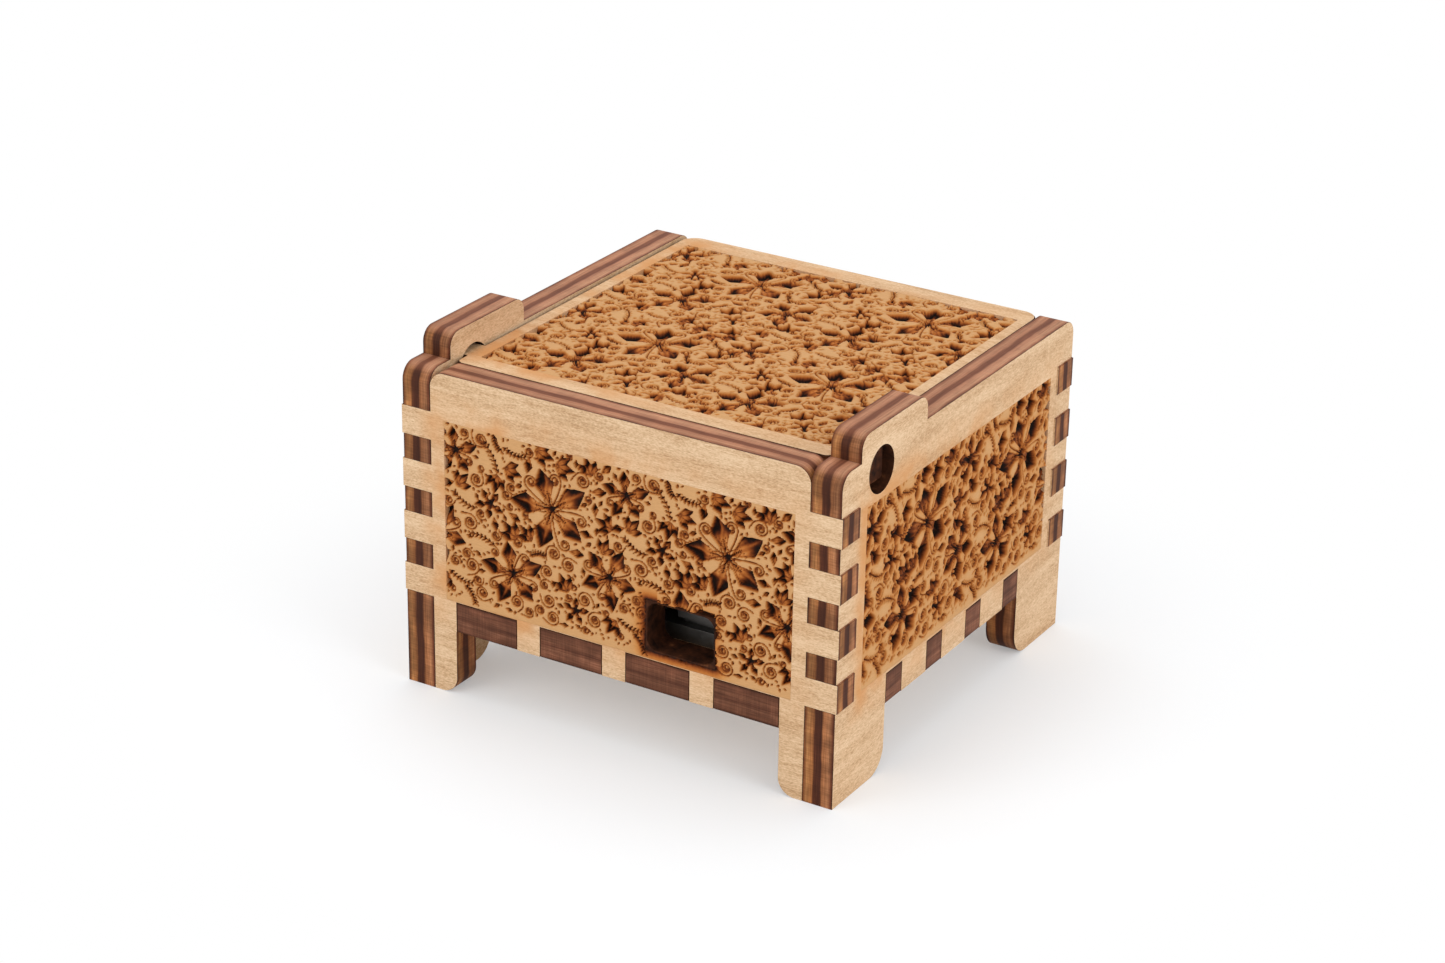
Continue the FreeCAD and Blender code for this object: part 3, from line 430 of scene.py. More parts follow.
# Engraving: colour by the burn of a cut, and the amber that its warmth leaves in the wood round it
BURN_STOPS = (
    (0.00, linear(209, 161, 110)),
    (0.15, linear(205, 146, 86)),
    (0.32, linear(190, 120, 58)),
    (0.50, linear(150, 84, 36)),
    (0.70, linear(92, 44, 17)),
    (0.86, linear(46, 22, 10)),
    (1.00, linear(22, 12, 8)),
)
AMBER = linear(246, 204, 150)
AMBER_RISE = (0.05, 0.6, 0.05, 0.45)
CUT_FIBRES = (1.1, 0.10)
CUT_FIBRE_TONES = ((0.3, (0.78, 0.76, 0.72, 1.0)), (0.7, WHITE))
CUT_FIBRE_SHARE = 0.7
SOOT_GRAIN = 0.5
SOOT_SWING = 0.5


def engraving(name, grain, carving):
    """Engraved field: the burn of each cut as colour, on ground that the heat has toasted."""
    finish = Finish(name)
    burn = finish.attribute("burn")
    warmth = finish.attribute("warmth")
    soot = finish.minus(finish.noise(even(SOOT_GRAIN)), 0.5)
    level = finish.plus(burn, finish.times(burn, finish.times(soot, SOOT_SWING)))
    # The halo adds burn round the cuts; on the side walls this darkening is partly painted shade
    level = finish.plus(level, finish.times(warmth, carving.halo))
    shade = finish.ramp(finish.times(level, carving.strength), BURN_STOPS)
    shade = finish.blend(finish.spread(warmth, *AMBER_RISE), shade, AMBER, kind="MULTIPLY")
    fibres = finish.noise(lined(grain, *CUT_FIBRES), detail=3.0, roughness=0.7)
    shade = finish.blend(CUT_FIBRE_SHARE, shade, finish.ramp(fibres, CUT_FIBRE_TONES), kind="MULTIPLY")
    finish.colour(shade)
    finish.set(Roughness=0.62, Specular_IOR_Level=0.10)
    finish.bump(fibres, strength=0.25, distance=0.04)
    return finish.material


# Engraved ornament: strokes and petals stamped into a field of depths and burns

class Relief:
    """Grid over an engraved field, in millimetres from its lower left corner, of depths and burns."""

    def __init__(self, width, height, step, repeat_up):
        self.columns = round(width / step) + 1
        self.rows = round(height / step) + 1
        across = np.linspace(0.0, width, self.columns)
        up = np.linspace(0.0, height, self.rows)
        self.x, self.y = np.meshgrid(across, up)
        self.depth = np.zeros_like(self.x)
        self.burn = np.zeros_like(self.x)
        self.repeat_up = repeat_up

    def around(self, place, reach):
        """Points within reach of every copy of a place, and their offsets from it."""
        dx = (self.x - place[0] + REPEAT / 2) % REPEAT - REPEAT / 2
        dy = self.y - place[1]
        if self.repeat_up:
            dy = (dy + REPEAT / 2) % REPEAT - REPEAT / 2
        spot = (np.abs(dx) < reach) & (np.abs(dy) < reach)
        return spot, dx[spot], dy[spot]

    def press(self, spot, depth, burn):
        self.depth[spot] = np.maximum(self.depth[spot], depth)
        self.burn[spot] = np.maximum(self.burn[spot], burn)

    def warmth(self):
        """Burn spread to the wood round it, a little further in each round."""
        soft = self.burn.copy()
        for _ in range(WARMTH_ROUNDS):
            padded = np.pad(soft, 1, mode="edge")
            beside = padded[1:-1, :-2] + padded[1:-1, 2:]
            soft = (padded[1:-1, 1:-1] * 2 + padded[:-2, 1:-1] + padded[2:, 1:-1] + beside) / 6
        return soft


def ease(value, low, high):
    """Smooth step from 0, where the value is low, to 1, where it is high."""
    share = np.clip((value - low) / (high - low), 0.0, 1.0)
    return share * share * (3.0 - 2.0 * share)


def spoke(reach, angle):
    """End of a line from the origin, reach long, at an angle."""
    return reach * math.cos(angle), reach * math.sin(angle)


# Petal: its outline, then where its marks begin and end along it or across it
PETAL_DEPTH = 0.95
PETAL_SLACK = 1.1
PETAL_WAIST = 0.56
PETAL_ROUNDING = 0.82
PETAL_LIP = (-0.04, 0.12)
PETAL_WALL = (0.05, 0.30)
TIP_RISE = (0.36, 0.66)
RIB_WIDTH = 0.15
HEART_WIDTH = 0.30
HEART_RISE = (1.0, 0.62)
SHADE_RISE = (-0.55, 0.5)
VEIN_COUNT = 13.0
VEIN_LEAN = 3.0

# Petal: how deep and how burnt its foot and its marks are
FOOT_DEPTH = 0.30
TIP_DEPTH = 0.54
SHADE_DEPTH = 0.16
VEIN_HEIGHT = 0.07
RIB_HEIGHT = 0.16
FOOT_BURN = 0.18
TIP_BURN = 0.80
RIB_PALE = 0.20
HEART_PALE = 0.36
WALL_BURN = 0.40
# Extra burn on one side of each petal is painted shade
PAINTED_SHADE_BURN = 0.12
VEIN_BURN = 0.20


def petal(relief, place, turn, length, width, start=0.0):
    """Pointed petal: shallow and amber at its foot, deep at its tip and black beside its heart."""
    spot, dx, dy = relief.around(place, length * PETAL_SLACK)
    along = (dx * math.cos(turn) + dy * math.sin(turn)) / length
    across = (dy * math.cos(turn) - dx * math.sin(turn)) / width
    inner = np.clip((along - start) / (1.0 - start), 0.0, 1.0)
    rise = inner / PETAL_WAIST
    fall = ((1.0 - inner) / (1.0 - PETAL_WAIST)) ** PETAL_ROUNDING
    margin = (np.minimum(rise, fall) - np.abs(across)) * width
    inside = ease(margin, *PETAL_LIP) * ((along > start) & (along < 1.0))
    wall = 1.0 - ease(margin, *PETAL_WALL)
    tip = ease(inner, *TIP_RISE)
    rib = np.exp(-(across / RIB_WIDTH) ** 2)
    heart = np.exp(-(across / HEART_WIDTH) ** 2) * ease(inner, *HEART_RISE)
    shade = ease(across, *SHADE_RISE)
    veins = 0.5 + 0.5 * np.cos(across * VEIN_COUNT + inner * VEIN_LEAN)
    depth = PETAL_DEPTH * inside * (FOOT_DEPTH + TIP_DEPTH * tip + SHADE_DEPTH * shade)
    depth -= inside * (VEIN_HEIGHT * veins * (1.0 - tip) + RIB_HEIGHT * rib * tip)
    burn = FOOT_BURN + tip * (TIP_BURN - RIB_PALE * rib - HEART_PALE * heart)
    # One side of each petal takes extra burn as painted shade
    burn += WALL_BURN * wall * wall + PAINTED_SHADE_BURN * shade + VEIN_BURN * veins * (1.0 - tip)
    relief.press(spot, depth, inside * np.clip(burn, 0.0, 1.0))


LINE_DEPTH = 0.34
GROOVE_WALL = 0.55
GROOVE_SLACK = 0.1


def stroke(relief, place, points, widths, burn, depth=LINE_DEPTH):
    """Groove along points that start from a place, as wide at each point as widths says."""
    reach = max(math.hypot(x, y) for x, y in points) + max(widths) + GROOVE_SLACK
    spot, dx, dy = relief.around(place, reach)
    best = np.full(dx.shape, -1.0)
    for (x, y), width in zip(points, widths):
        best = np.maximum(best, 1.0 - np.hypot(dx - x, dy - y) / width)
    groove = ease(best, 0.0, GROOVE_WALL)
    relief.press(spot, depth * groove, burn * groove)


def taper(count, first, last):
    """Widths of a line from its first point to its last."""
    return [first + (last - first) * index / max(count - 1, 1) for index in range(count)]


CURL_STEP = 0.11
CURL_EYE = 0.24
CURL_TIGHTENING = 0.105
STEM_BEND = 0.35
SHORTEST_STEM = 0.5


def curl_points(start, turn, length, radius, hand):
    """Stem that leaves a point along turn and rolls up into a spiral."""
    points = []
    x, y = start
    heading = turn
    size = radius
    stem_steps = max(int(length / CURL_STEP), 1)
    while len(points) < stem_steps or size > CURL_EYE:
        if len(points) < stem_steps:
            heading += hand * STEM_BEND * CURL_STEP / max(length, SHORTEST_STEM)
        else:
            heading += hand * CURL_STEP / size
            size -= CURL_STEP * CURL_TIGHTENING
        x += CURL_STEP * math.cos(heading)
        y += CURL_STEP * math.sin(heading)
        points.append((x, y))
    return points


# Flower: petals and lines in shares of its radius, and widths of the lines at both ends
PETALS = 5
PETAL_WIDTH = 0.255
PETAL_START = 0.10
PETAL_SWING = 0.07
RIB_STEP = 0.05
RIB_STEPS = range(1, 9)
RIB_LINE = (0.24, 0.10)
EDGE_STEP = 0.036
EDGE_STEPS = range(2, 14)
EDGE_CREST = 8
EDGE_TURN = 0.30
EDGE_BEND = 0.010
EDGE_LINE = (0.13, 0.11)
EYE_SIZE = 0.42
EYE_GROWTH = 0.03
WHISKER_FOOT = 0.12
WHISKER_LEAN = 0.25
WHISKER_LINE = (0.13, 0.16)


def whisker_points(radius, turn, gap, length, size, hand):
    """Curled stem that leaves a flower's eye between two petals."""
    angle = turn + (gap + 0.5) * FULL_TURN / PETALS
    foot = spoke(radius * WHISKER_FOOT, angle)
    return curl_points(foot, angle - hand * WHISKER_LEAN, radius * length, size, hand)


def flower(relief, place, radius, turn, whiskers):
    """Five pointed petals round a dark eye, with curled stems between some of them."""
    for number in range(PETALS):
        angle = turn + number * FULL_TURN / PETALS
        stretch = 1.0 + PETAL_SWING * math.sin(2.3 * number + 4 * turn)
        petal(relief, place, angle, radius * stretch, radius * PETAL_WIDTH, PETAL_START)
        rib = [spoke(radius * RIB_STEP * step, angle) for step in RIB_STEPS]
        stroke(relief, place, rib, taper(len(rib), *RIB_LINE), burn=0.95, depth=0.6)
        for side in (-1, 1):
            edge = []
            for step in EDGE_STEPS:
                bend = angle + side * EDGE_TURN + side * EDGE_BEND * step * (EDGE_CREST - step)
                edge.append(spoke(radius * EDGE_STEP * step, bend))
            stroke(relief, place, edge, taper(len(edge), *EDGE_LINE), burn=0.72, depth=0.4)
    stroke(relief, place, [(0.0, 0.0)], [EYE_SIZE + radius * EYE_GROWTH], burn=1.0, depth=0.5)
    for whisker in whiskers:
        points = whisker_points(radius, turn, *whisker)
        stroke(relief, place, points, taper(len(points), *WHISKER_LINE), burn=0.62)


# Spiral: start and stem in shares of its size, points that make its eye, and its line
SPIRAL_START = 0.75
SPIRAL_TURN = 1.2
SPIRAL_STEM = 0.9
SPIRAL_ROLL = 0.82
SPIRAL_EYE = 12
SPIRAL_DOT = 0.26
SPIRAL_LINE = (0.12, 0.17)


def spiral(relief, place, size, turn, hand):
    """Curl set with its eye on a place."""
    start = spoke(SPIRAL_START * size, turn)
    heading = turn + hand * SPIRAL_TURN
    points = curl_points(start, heading, size * SPIRAL_STEM, size * SPIRAL_ROLL, hand)
    middle_x = sum(x for x, _ in points[-SPIRAL_EYE:]) / SPIRAL_EYE
    middle_y = sum(y for _, y in points[-SPIRAL_EYE:]) / SPIRAL_EYE
    centred = [(x - middle_x, y - middle_y) for x, y in points]
    stroke(relief, place, centred, taper(len(centred), *SPIRAL_LINE), burn=0.62)
    stroke(relief, place, [(0.0, 0.0)], [SPIRAL_DOT], burn=0.75, depth=0.4)


# Fern: its bent stem, and leaflets that are longer on one side of it
FERN_BEND = 0.9
FERN_STEPS = 26
FERN_LINE = (0.13, 0.11)
LEAFLET_GAP = 4
LEAFLET_LEAN = 0.9
LEAFLET_SIDES = ((1, 0.58), (-1, 0.34))
LEAFLET_STEPS = (0.3, 0.65, 1.0)
LEAFLET_LINE = (0.15, 0.14, 0.11)


def fern(relief, place, length, turn, bend):
    """Bent stem with a row of short leaflets on each side."""
    stem = []
    heading = turn - bend / 2
    x, y = spoke(-0.5 * length, turn)
    for _ in range(FERN_STEPS):
        heading += bend / FERN_STEPS
        x += length / FERN_STEPS * math.cos(heading)
        y += length / FERN_STEPS * math.sin(heading)
        stem.append((x, y, heading))
    line = [(x, y) for x, y, _ in stem]
    stroke(relief, place, line, taper(FERN_STEPS, *FERN_LINE), burn=0.8, depth=0.4)
    for x, y, way in stem[1::LEAFLET_GAP]:
        for side, reach in LEAFLET_SIDES:
            leaflet = []
            for step in LEAFLET_STEPS:
                out, up = spoke(reach * step, way + side * LEAFLET_LEAN)
                leaflet.append((x + out, y + up))
            stroke(relief, place, leaflet, LEAFLET_LINE, burn=0.92, depth=0.5)


# Small motifs in shares of their size: lean and length of a bud's leaves, widths, points of a dot
BUD_LEAVES = ((-0.62, 0.85), (0.0, 1.0), (0.62, 0.85))
BUD_WIDTH = 0.21
LEAF_WIDTH = 0.27
DOT_POINTS = (-0.6, 0.0, 0.6)
DOT_WIDTHS = (0.8, 1.0, 0.7)


def foot_of(place, size, turn):
    """Foot of a leaf that has its middle on a place."""
    x, y = spoke(0.5 * size, turn)
    return place[0] - x, place[1] - y


def bud(relief, place, size, turn):
    """Three dark leaves that open from one foot."""
    for lean, share in BUD_LEAVES:
        petal(relief, foot_of(place, size, turn), turn + lean, size * share, size * BUD_WIDTH)


def leaf(relief, place, size, turn):
    petal(relief, foot_of(place, size, turn), turn, size, size * LEAF_WIDTH)


def dot(relief, place, size, turn):
    points = [spoke(size * share, turn) for share in DOT_POINTS]
    stroke(relief, place, points, [size * share for share in DOT_WIDTHS], burn=0.66, depth=0.35)


FLOWERS = (
    # place, radius, turn in degrees, curled stems as (gap, length, spiral size, hand)
    ((15.2, 15.6), 5.6, 36.0,
     ((0, 0.58, 0.95, 1), (1, 0.62, 0.95, -1), (3, 0.70, 0.85, 1), (4, 0.66, 0.8, -1))),
    ((9.6, 5.8), 4.5, 28.0, ((0, 0.55, 0.8, -1), (2, 0.62, 0.75, 1), (4, 0.6, 0.7, -1))),
    ((23.2, 8.8), 4.1, -10.0, ((0, 0.62, 0.75, 1), (2, 0.6, 0.75, -1), (3, 0.56, 0.6, 1))),
    ((1.4, 19.9), 3.3, 22.0, ((2, 0.62, 0.6, 1), (4, 0.6, 0.6, -1))),
    ((6.4, 14.2), 2.1, 50.0, ()),
    ((18.6, 3.3), 1.9, 14.0, ()),
)

FILLING = (
    # motif, how many, clear radius, smallest and largest size
    ("fern", 5, 1.40, 3.2, 4.0),
    ("bud", 12, 1.10, 2.5, 3.1),
    ("spiral", 14, 1.05, 1.15, 1.45),
    ("leaf", 9, 0.80, 1.9, 2.4),
    ("fern", 5, 0.95, 2.0, 2.6),
    ("spiral", 16, 0.68, 0.75, 0.95),
    ("leaf", 26, 0.42, 1.0, 1.3),
    ("spiral", 10, 0.46, 0.55, 0.65),
    ("dot", 240, 0.22, 0.14, 0.24),
)
LAYOUT_SEED = 41
LAYOUT_TRIES = 2500
FIELD_MARGIN = 0.5

# Room that a flower takes, in shares of its radius: its eye, and circles along each petal
EYE_ROOM = 0.36
PETAL_ROOM = ((0.45, 0.22), (0.68, 0.20), (0.92, 0.09))
WHISKER_ROOM = 0.28
WHISKER_GAP = 5


def flower_room():
    """Circles that the flowers and their curls fill."""
    circles = []
    for place, radius, degrees, whiskers in FLOWERS:
        turn = math.radians(degrees)
        circles.append((*place, radius * EYE_ROOM))
        for number in range(PETALS):
            for share, room in PETAL_ROOM:
                x, y = spoke(radius * share, turn + number * FULL_TURN / PETALS)
                circles.append((place[0] + x, place[1] + y, radius * room))
        for whisker in whiskers:
            for x, y in whisker_points(radius, turn, *whisker)[::WHISKER_GAP]:
                circles.append((place[0] + x, place[1] + y, WHISKER_ROOM))
    return circles


def spacing(x, y, circle, repeat_up):
    """Distance from a point to the nearest repeat of a circle."""
    other_x, other_y, radius = circle
    gap_x = abs(x - other_x) % REPEAT
    gap_y = abs(y - other_y)
    if repeat_up:
        gap_y = min(gap_y % REPEAT, REPEAT - gap_y % REPEAT)
    return math.hypot(min(gap_x, REPEAT - gap_x), gap_y) - radius


def filling(repeat_up):
    """Seeded places for the small motifs, each clear of what is there already."""
    chance = random.Random(LAYOUT_SEED)
    circles = flower_room()
    chosen = []
    for motif, number, room, smallest, largest in FILLING:
        placed = 0
        border = 0.0 if repeat_up else room + FIELD_MARGIN
        for _ in range(LAYOUT_TRIES):
            if placed == number:
                break
            x = chance.uniform(0.0, REPEAT)
            y = chance.uniform(border, REPEAT - border)
            turn = chance.uniform(0.0, FULL_TURN)
            size = chance.uniform(smallest, largest)
            hand = chance.choice((-1, 1))
            if all(spacing(x, y, circle, repeat_up) > room for circle in circles):
                circles.append((x, y, room))
                chosen.append((motif, (x, y), size, turn, hand))
                placed += 1
    return chosen


def ornament(relief):
    """Flowers on a square repeat, with ferns, buds, spirals and dots between them."""
    for place, radius, turn, whiskers in FLOWERS:
        flower(relief, place, radius, math.radians(turn), whiskers)
    for motif, place, size, turn, hand in filling(relief.repeat_up):
        if motif == "fern":
            fern(relief, place, size, turn, hand * FERN_BEND)
        elif motif == "spiral":
            spiral(relief, place, size, turn, hand)
        elif motif == "bud":
            bud(relief, place, size, turn)
        elif motif == "leaf":
            leaf(relief, place, size, turn)
        else:
            dot(relief, place, size, turn)


# Panels

class Carving:
    """Engraved field on one face of a panel: its axes seen from outside, its sides and its level.

    Halo and strength set how warm and how dark it looks, and force how hard it is cut.
    """

    def __init__(self, right, up, out, across, tall, level, step, halo=0.0, strength=1.0, force=1.0,
                 repeat_up=False, window=None):
        self.right = Vector(right)
        self.up = Vector(up)
        self.out = Vector(out)
        self.across = across
        self.tall = tall
        self.level = level
        self.step = step
        self.halo = halo
        self.strength = strength
        self.force = force
        self.repeat_up = repeat_up
        self.window = window

    def size(self):
        return self.across[1] - self.across[0], self.tall[1] - self.tall[0]

    def point(self, x, y, depth):
        """Place in the frame of a point in millimetres from the field's lower left corner."""
        place = self.right * (self.across[0] + x) + self.up * (self.tall[0] + y)
        return (place + self.out * (self.level - depth)) * MM

    def rectangle(self):
        """Axis, middle and half length of both sides of the field, in metres."""
        sides = []
        for way, (low, high) in ((self.right, self.across), (self.up, self.tall)):
            axis = main_axis(way)
            sides.append((axis, way[AXES[axis]] * (low + high) / 2 * MM, (high - low) / 2 * MM))
        return sides


def box_between(first, second, name):
    """Box with two opposite corners, modelled from a cube at its size and place."""
    low = Vector(map(min, first, second))
    high = Vector(map(max, first, second))
    bpy.ops.object.select_all(action="DESELECT")
    bpy.ops.mesh.primitive_cube_add(size=1.0, location=(low + high) / 2, scale=high - low)
    box = bpy.context.active_object
    box.name = name
    bpy.ops.object.transform_apply(location=True, rotation=True, scale=True)
    return box


def carve_out(body, tool):
    """Cut a tool out of a body, and remove the tool."""
    select_only(body)
    change = body.modifiers.new("cut", "BOOLEAN")
    change.operation = "DIFFERENCE"
    change.solver = "EXACT"
    change.object = tool
    bpy.ops.object.modifier_apply(modifier=change.name)
    bpy.data.objects.remove(tool, do_unlink=True)


def pocket_tool(carving):
    """What the panel loses where the engraved layer is let in."""
    base = carving.point(0, 0, POCKET_DEPTH)
    tool = box_between(base, carving.point(*carving.size(), -POCKET_SLACK), "pocket")
    if carving.window:
        (left, right), (low, high) = carving.window
        base = carving.point(left, low, POCKET_DEPTH + POCKET_SLACK)
        top = carving.point(right, high, -2 * POCKET_SLACK)
        carve_out(tool, box_between(base, top, "island"))
    return tool


def engraved_relief(carving):
    """The ornament over a field, scorched round its window and cut with the field's force."""
    relief = Relief(*carving.size(), carving.step, carving.repeat_up)
    ornament(relief)
    if carving.window:
        scorch_window(relief, carving.window)
    relief.burn = np.minimum(relief.burn * carving.force, 1.0)
    relief.depth = np.maximum(relief.depth * carving.force, SURFACE_SKIN)
    return relief


def engraved_layer(carving, finish):
    """Fine grid pressed into the ornament's relief and closed below."""
    relief = engraved_relief(carving)
    bpy.ops.object.select_all(action="DESELECT")
    bpy.ops.mesh.primitive_grid_add(
        x_subdivisions=relief.columns - 1, y_subdivisions=relief.rows - 1, size=1.0)
    layer = bpy.context.active_object
    corner = np.array(carving.point(0.0, 0.0, 0.0))
    offsets = ((relief.x, carving.right), (relief.y, carving.up), (-relief.depth, carving.out))
    places = corner + sum(values.ravel()[:, None] * (np.array(way) * MM) for values, way in offsets)
    layer.data.vertices.foreach_set("co", places.ravel())
    for name, values in (("burn", relief.burn), ("warmth", relief.warmth())):
        layer.data.attributes.new(name, "FLOAT", "POINT").data.foreach_set("value", values.ravel())
    layer.data.materials.append(finish)
    if carving.window:
        open_window(layer, relief, carving.window)
    close_below(layer, carving)
    return layer


WINDOW_SCORCH = 0.95
WINDOW_SCORCH_REACH = 0.75
WINDOW_CLEAN_SHARE = 0.30
WINDOW_LEFT_BAND = 1.5
WINDOW_LOW_BAND = 0.5
WINDOW_SLACK = 1.5


def scorch_window(relief, window):
    """Burn round the window, heaviest to its left and below it."""
    (left, right), (low, high) = window
    beside = np.maximum(np.maximum(left - relief.x, relief.x - right), 0.0)
    above = np.maximum(np.maximum(low - relief.y, relief.y - high), 0.0)
    heavy = (relief.x < left + WINDOW_LEFT_BAND) | (relief.y < low + WINDOW_LOW_BAND)
    lean = WINDOW_CLEAN_SHARE + (1.0 - WINDOW_CLEAN_SHARE) * heavy
    fade = np.exp(-np.hypot(beside, above) / WINDOW_SCORCH_REACH)
    relief.burn = np.maximum(relief.burn, WINDOW_SCORCH * lean * fade)


def open_window(layer, relief, window):
    """Remove the part of the layer that the window's rim and opening take."""
    (left, right), (low, high) = window
    slack = WINDOW_SLACK * RELIEF_STEP
    beside = (relief.x > left + slack) & (relief.x < right - slack)
    inside = beside & (relief.y > low + slack) & (relief.y < high - slack)
    layer.data.vertices.foreach_set("select", inside.ravel())
    layer.data.edges.foreach_set("select", np.zeros(len(layer.data.edges), bool))
    layer.data.polygons.foreach_set("select", np.zeros(len(layer.data.polygons), bool))
    select_only(layer)
    bpy.ops.object.mode_set(mode="EDIT")
    bpy.ops.mesh.select_mode(type="VERT")
    bpy.ops.mesh.delete(type="VERT")
    bpy.ops.object.mode_set(mode="OBJECT")


def close_below(layer, carving):
    """Skirt round the layer's border down to a flat underside."""
    surface_points = len(layer.data.vertices)
    select_only(layer)
    bpy.ops.object.shade_smooth()
    bpy.ops.object.mode_set(mode="EDIT")
    bpy.ops.mesh.select_mode(type="EDGE")
    bpy.ops.mesh.select_all(action="DESELECT")
    bpy.ops.mesh.select_non_manifold(
        extend=False, use_wire=False, use_boundary=True, use_multi_face=False,
        use_non_contiguous=False, use_verts=False)
    bpy.ops.mesh.extrude_edges_move(
        TRANSFORM_OT_translate={"value": carving.out * (-SKIRT_STEP * MM)})
    bpy.ops.object.mode_set(mode="OBJECT")
    places = np.empty(len(layer.data.vertices) * 3)
    layer.data.vertices.foreach_get("co", places)
    places = places.reshape(-1, 3)
    axis = AXES[main_axis(carving.out)]
    places[surface_points:, axis] = carving.point(0.0, 0.0, POCKET_DEPTH + LAYER_OVERLAP)[axis]
    layer.data.vertices.foreach_set("co", places.ravel())
    bpy.ops.object.mode_set(mode="EDIT")
    bpy.ops.mesh.fill(use_beauty=False)
    bpy.ops.object.mode_set(mode="OBJECT")


def piece_from(node, name, finishes):
    """Copy of a node's shape with its triangles merged into faces."""
    piece = bpy.data.objects.new(name, frame["nodes"][node].data.copy())
    bpy.context.collection.objects.link(piece)
    select_only(piece)
    piece.data.materials.clear()
    for finish in finishes:
        piece.data.materials.append(finish)
    bpy.ops.mesh.customdata_custom_splitnormals_clear()
    bpy.ops.object.mode_set(mode="EDIT")
    bpy.ops.mesh.select_all(action="SELECT")
    bpy.ops.mesh.remove_doubles(threshold=MERGE_GAP * MM)
    bpy.ops.mesh.dissolve_limited(angle_limit=math.radians(FLAT_ANGLE))
    bpy.ops.object.mode_set(mode="OBJECT")
    return piece


def break_edges(piece, width, segments, finish=-1):
    """Narrow bevel along the sharp edges of a piece."""
    select_only(piece)
    change = piece.modifiers.new("broken_edges", "BEVEL")
    change.width = width * MM
    change.segments = segments
    change.limit_method = "ANGLE"
    change.angle_limit = math.radians(SHARP_ANGLE)
    change.material = finish
    bpy.ops.object.modifier_apply(modifier=change.name)
    bpy.ops.object.shade_smooth_by_angle(angle=math.radians(SMOOTH_ANGLE))


# Finishes of a panel, in the order of its material slots
FACE, EDGE, SOOT, BORE = range(4)
SOOT_FINISH = char_and_shade_finish("burnt_line", 1.6, LINE_SOOT, roughness=0.85)
# Bore finish: char plus painted shade in the window and pivot holes and on the lid's tab ends
BORE_FINISH = char_and_shade_finish("burnt_and_shaded_bore", 1.2, BORE_SOOT_AND_SHADE, roughness=0.8, crust=0.4)
FACE_NORMAL = 0.9


def panel_from(node, thickness, finishes):
    """Panel in a node's place, with burnt lines along its cuts."""
    panel = piece_from(node, node + "_panel", finishes)
    for face in panel.data.polygons:
        flat = abs(face.normal[AXES[thickness]]) > FACE_NORMAL
        face.material_index = FACE if flat else EDGE
    break_edges(panel, BURNT_EDGE, segments=1, finish=SOOT)
    mark_crests(panel)
    return panel


def mark_crests(panel):
    """How far the cut edge faces up at each point, for its finish."""
    totals = np.zeros(len(panel.data.vertices))
    counts = np.zeros(len(panel.data.vertices))
    for face in panel.data.polygons:
        if face.material_index == EDGE:
            corners = list(face.vertices)
            totals[corners] += face.normal.z
            counts[corners] += 1
    crest = totals / np.maximum(counts, 1)
    panel.data.attributes.new("crest", "FLOAT", "POINT").data.foreach_set("value", crest)


def char_and_shade_openings(panel, openings):
    """Char the cuts whose middle lies in a box round an opening, with the veneer where it has a rim,
    and darken them with painted shade.
    """
    for face in panel.data.polygons:
        for low, high, rim in openings:
            if face.material_index == FACE and not rim:
                continue
            if all(low[axis] * MM <= face.center[axis] <= high[axis] * MM for axis in range(3)):
                face.material_index = BORE


def plywood_panel(node, body, thickness, grain, carving=None, plies=WALL_PLIES, openings=()):
    """Plywood in a node's place, with an engraved layer let into its face where it has a carving."""
    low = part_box(node)[0][AXES[thickness]]
    finishes = (
        veneer(node + "_veneer", grain, carving),
        cut_edge(node + "_cut_edge", thickness, low, plies),
        SOOT_FINISH,
        BORE_FINISH,
    )
    panel = panel_from(node, thickness, finishes)
    if carving:
        carve_out(panel, pocket_tool(carving))
    char_and_shade_openings(panel, openings)
    if carving:
        layer = engraved_layer(carving, engraving(node + "_engraving", grain, carving))
        select_only(panel, layer)
        bpy.ops.object.join()
    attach(panel, body)
    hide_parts(node)


# Case: outer faces, and the engraved fields on them, counted along the right and up of each field
HALF_X = 30.0
HALF_Y = 29.0
LID_TOP = 41.65
WALL_FIELD = (-24.1, 24.1)
WALL_RISE = (12.6, 36.0)
SIDE_FIELD = (-23.0, 23.3)
SIDE_RISE = (12.8, 36.0)
LID_FIELD = (-23.9, 24.1)
LID_RISE = (-21.5, 25.4)
# Side walls: fields cut deeper, with extra burn and a burnt halo round the cuts; the extra burn and
# halo are partly real burn and partly painted shade in the deep relief
SIDE_LOOK_WITH_PAINTED_SHADE = {"halo": 0.62, "strength": 0.76, "force": 1.15}
LID_FORCE = 1.12

# Openings: the window, the pivot axis of the lid, and how far the char and painted shade round them
# reach
WINDOW_X = (4.625, 13.775)
WINDOW_Z = (13.85, 20.0)
WINDOW_DARK_REACH = 0.3
WINDOW_DARK_DEPTH = 3.95
PIVOT_Y = -20.0
PIVOT_Z = 39.65
HOLE_REACH = 3.0
TAB_REACH = 2.1
TAB_END = 28.9
TAB_END_SLACK = 0.2
FACE_SLACK = 0.1


def window_in_field():
    """The window with its rim, from the lower left corner of the hinge wall's field."""
    across = (WINDOW_X[0] - WINDOW_RIM - WALL_FIELD[0], WINDOW_X[1] + WINDOW_RIM - WALL_FIELD[0])
    tall = (WINDOW_Z[0] - WINDOW_RIM - WALL_RISE[0], WINDOW_Z[1] + WINDOW_RIM - WALL_RISE[0])
    return across, tall


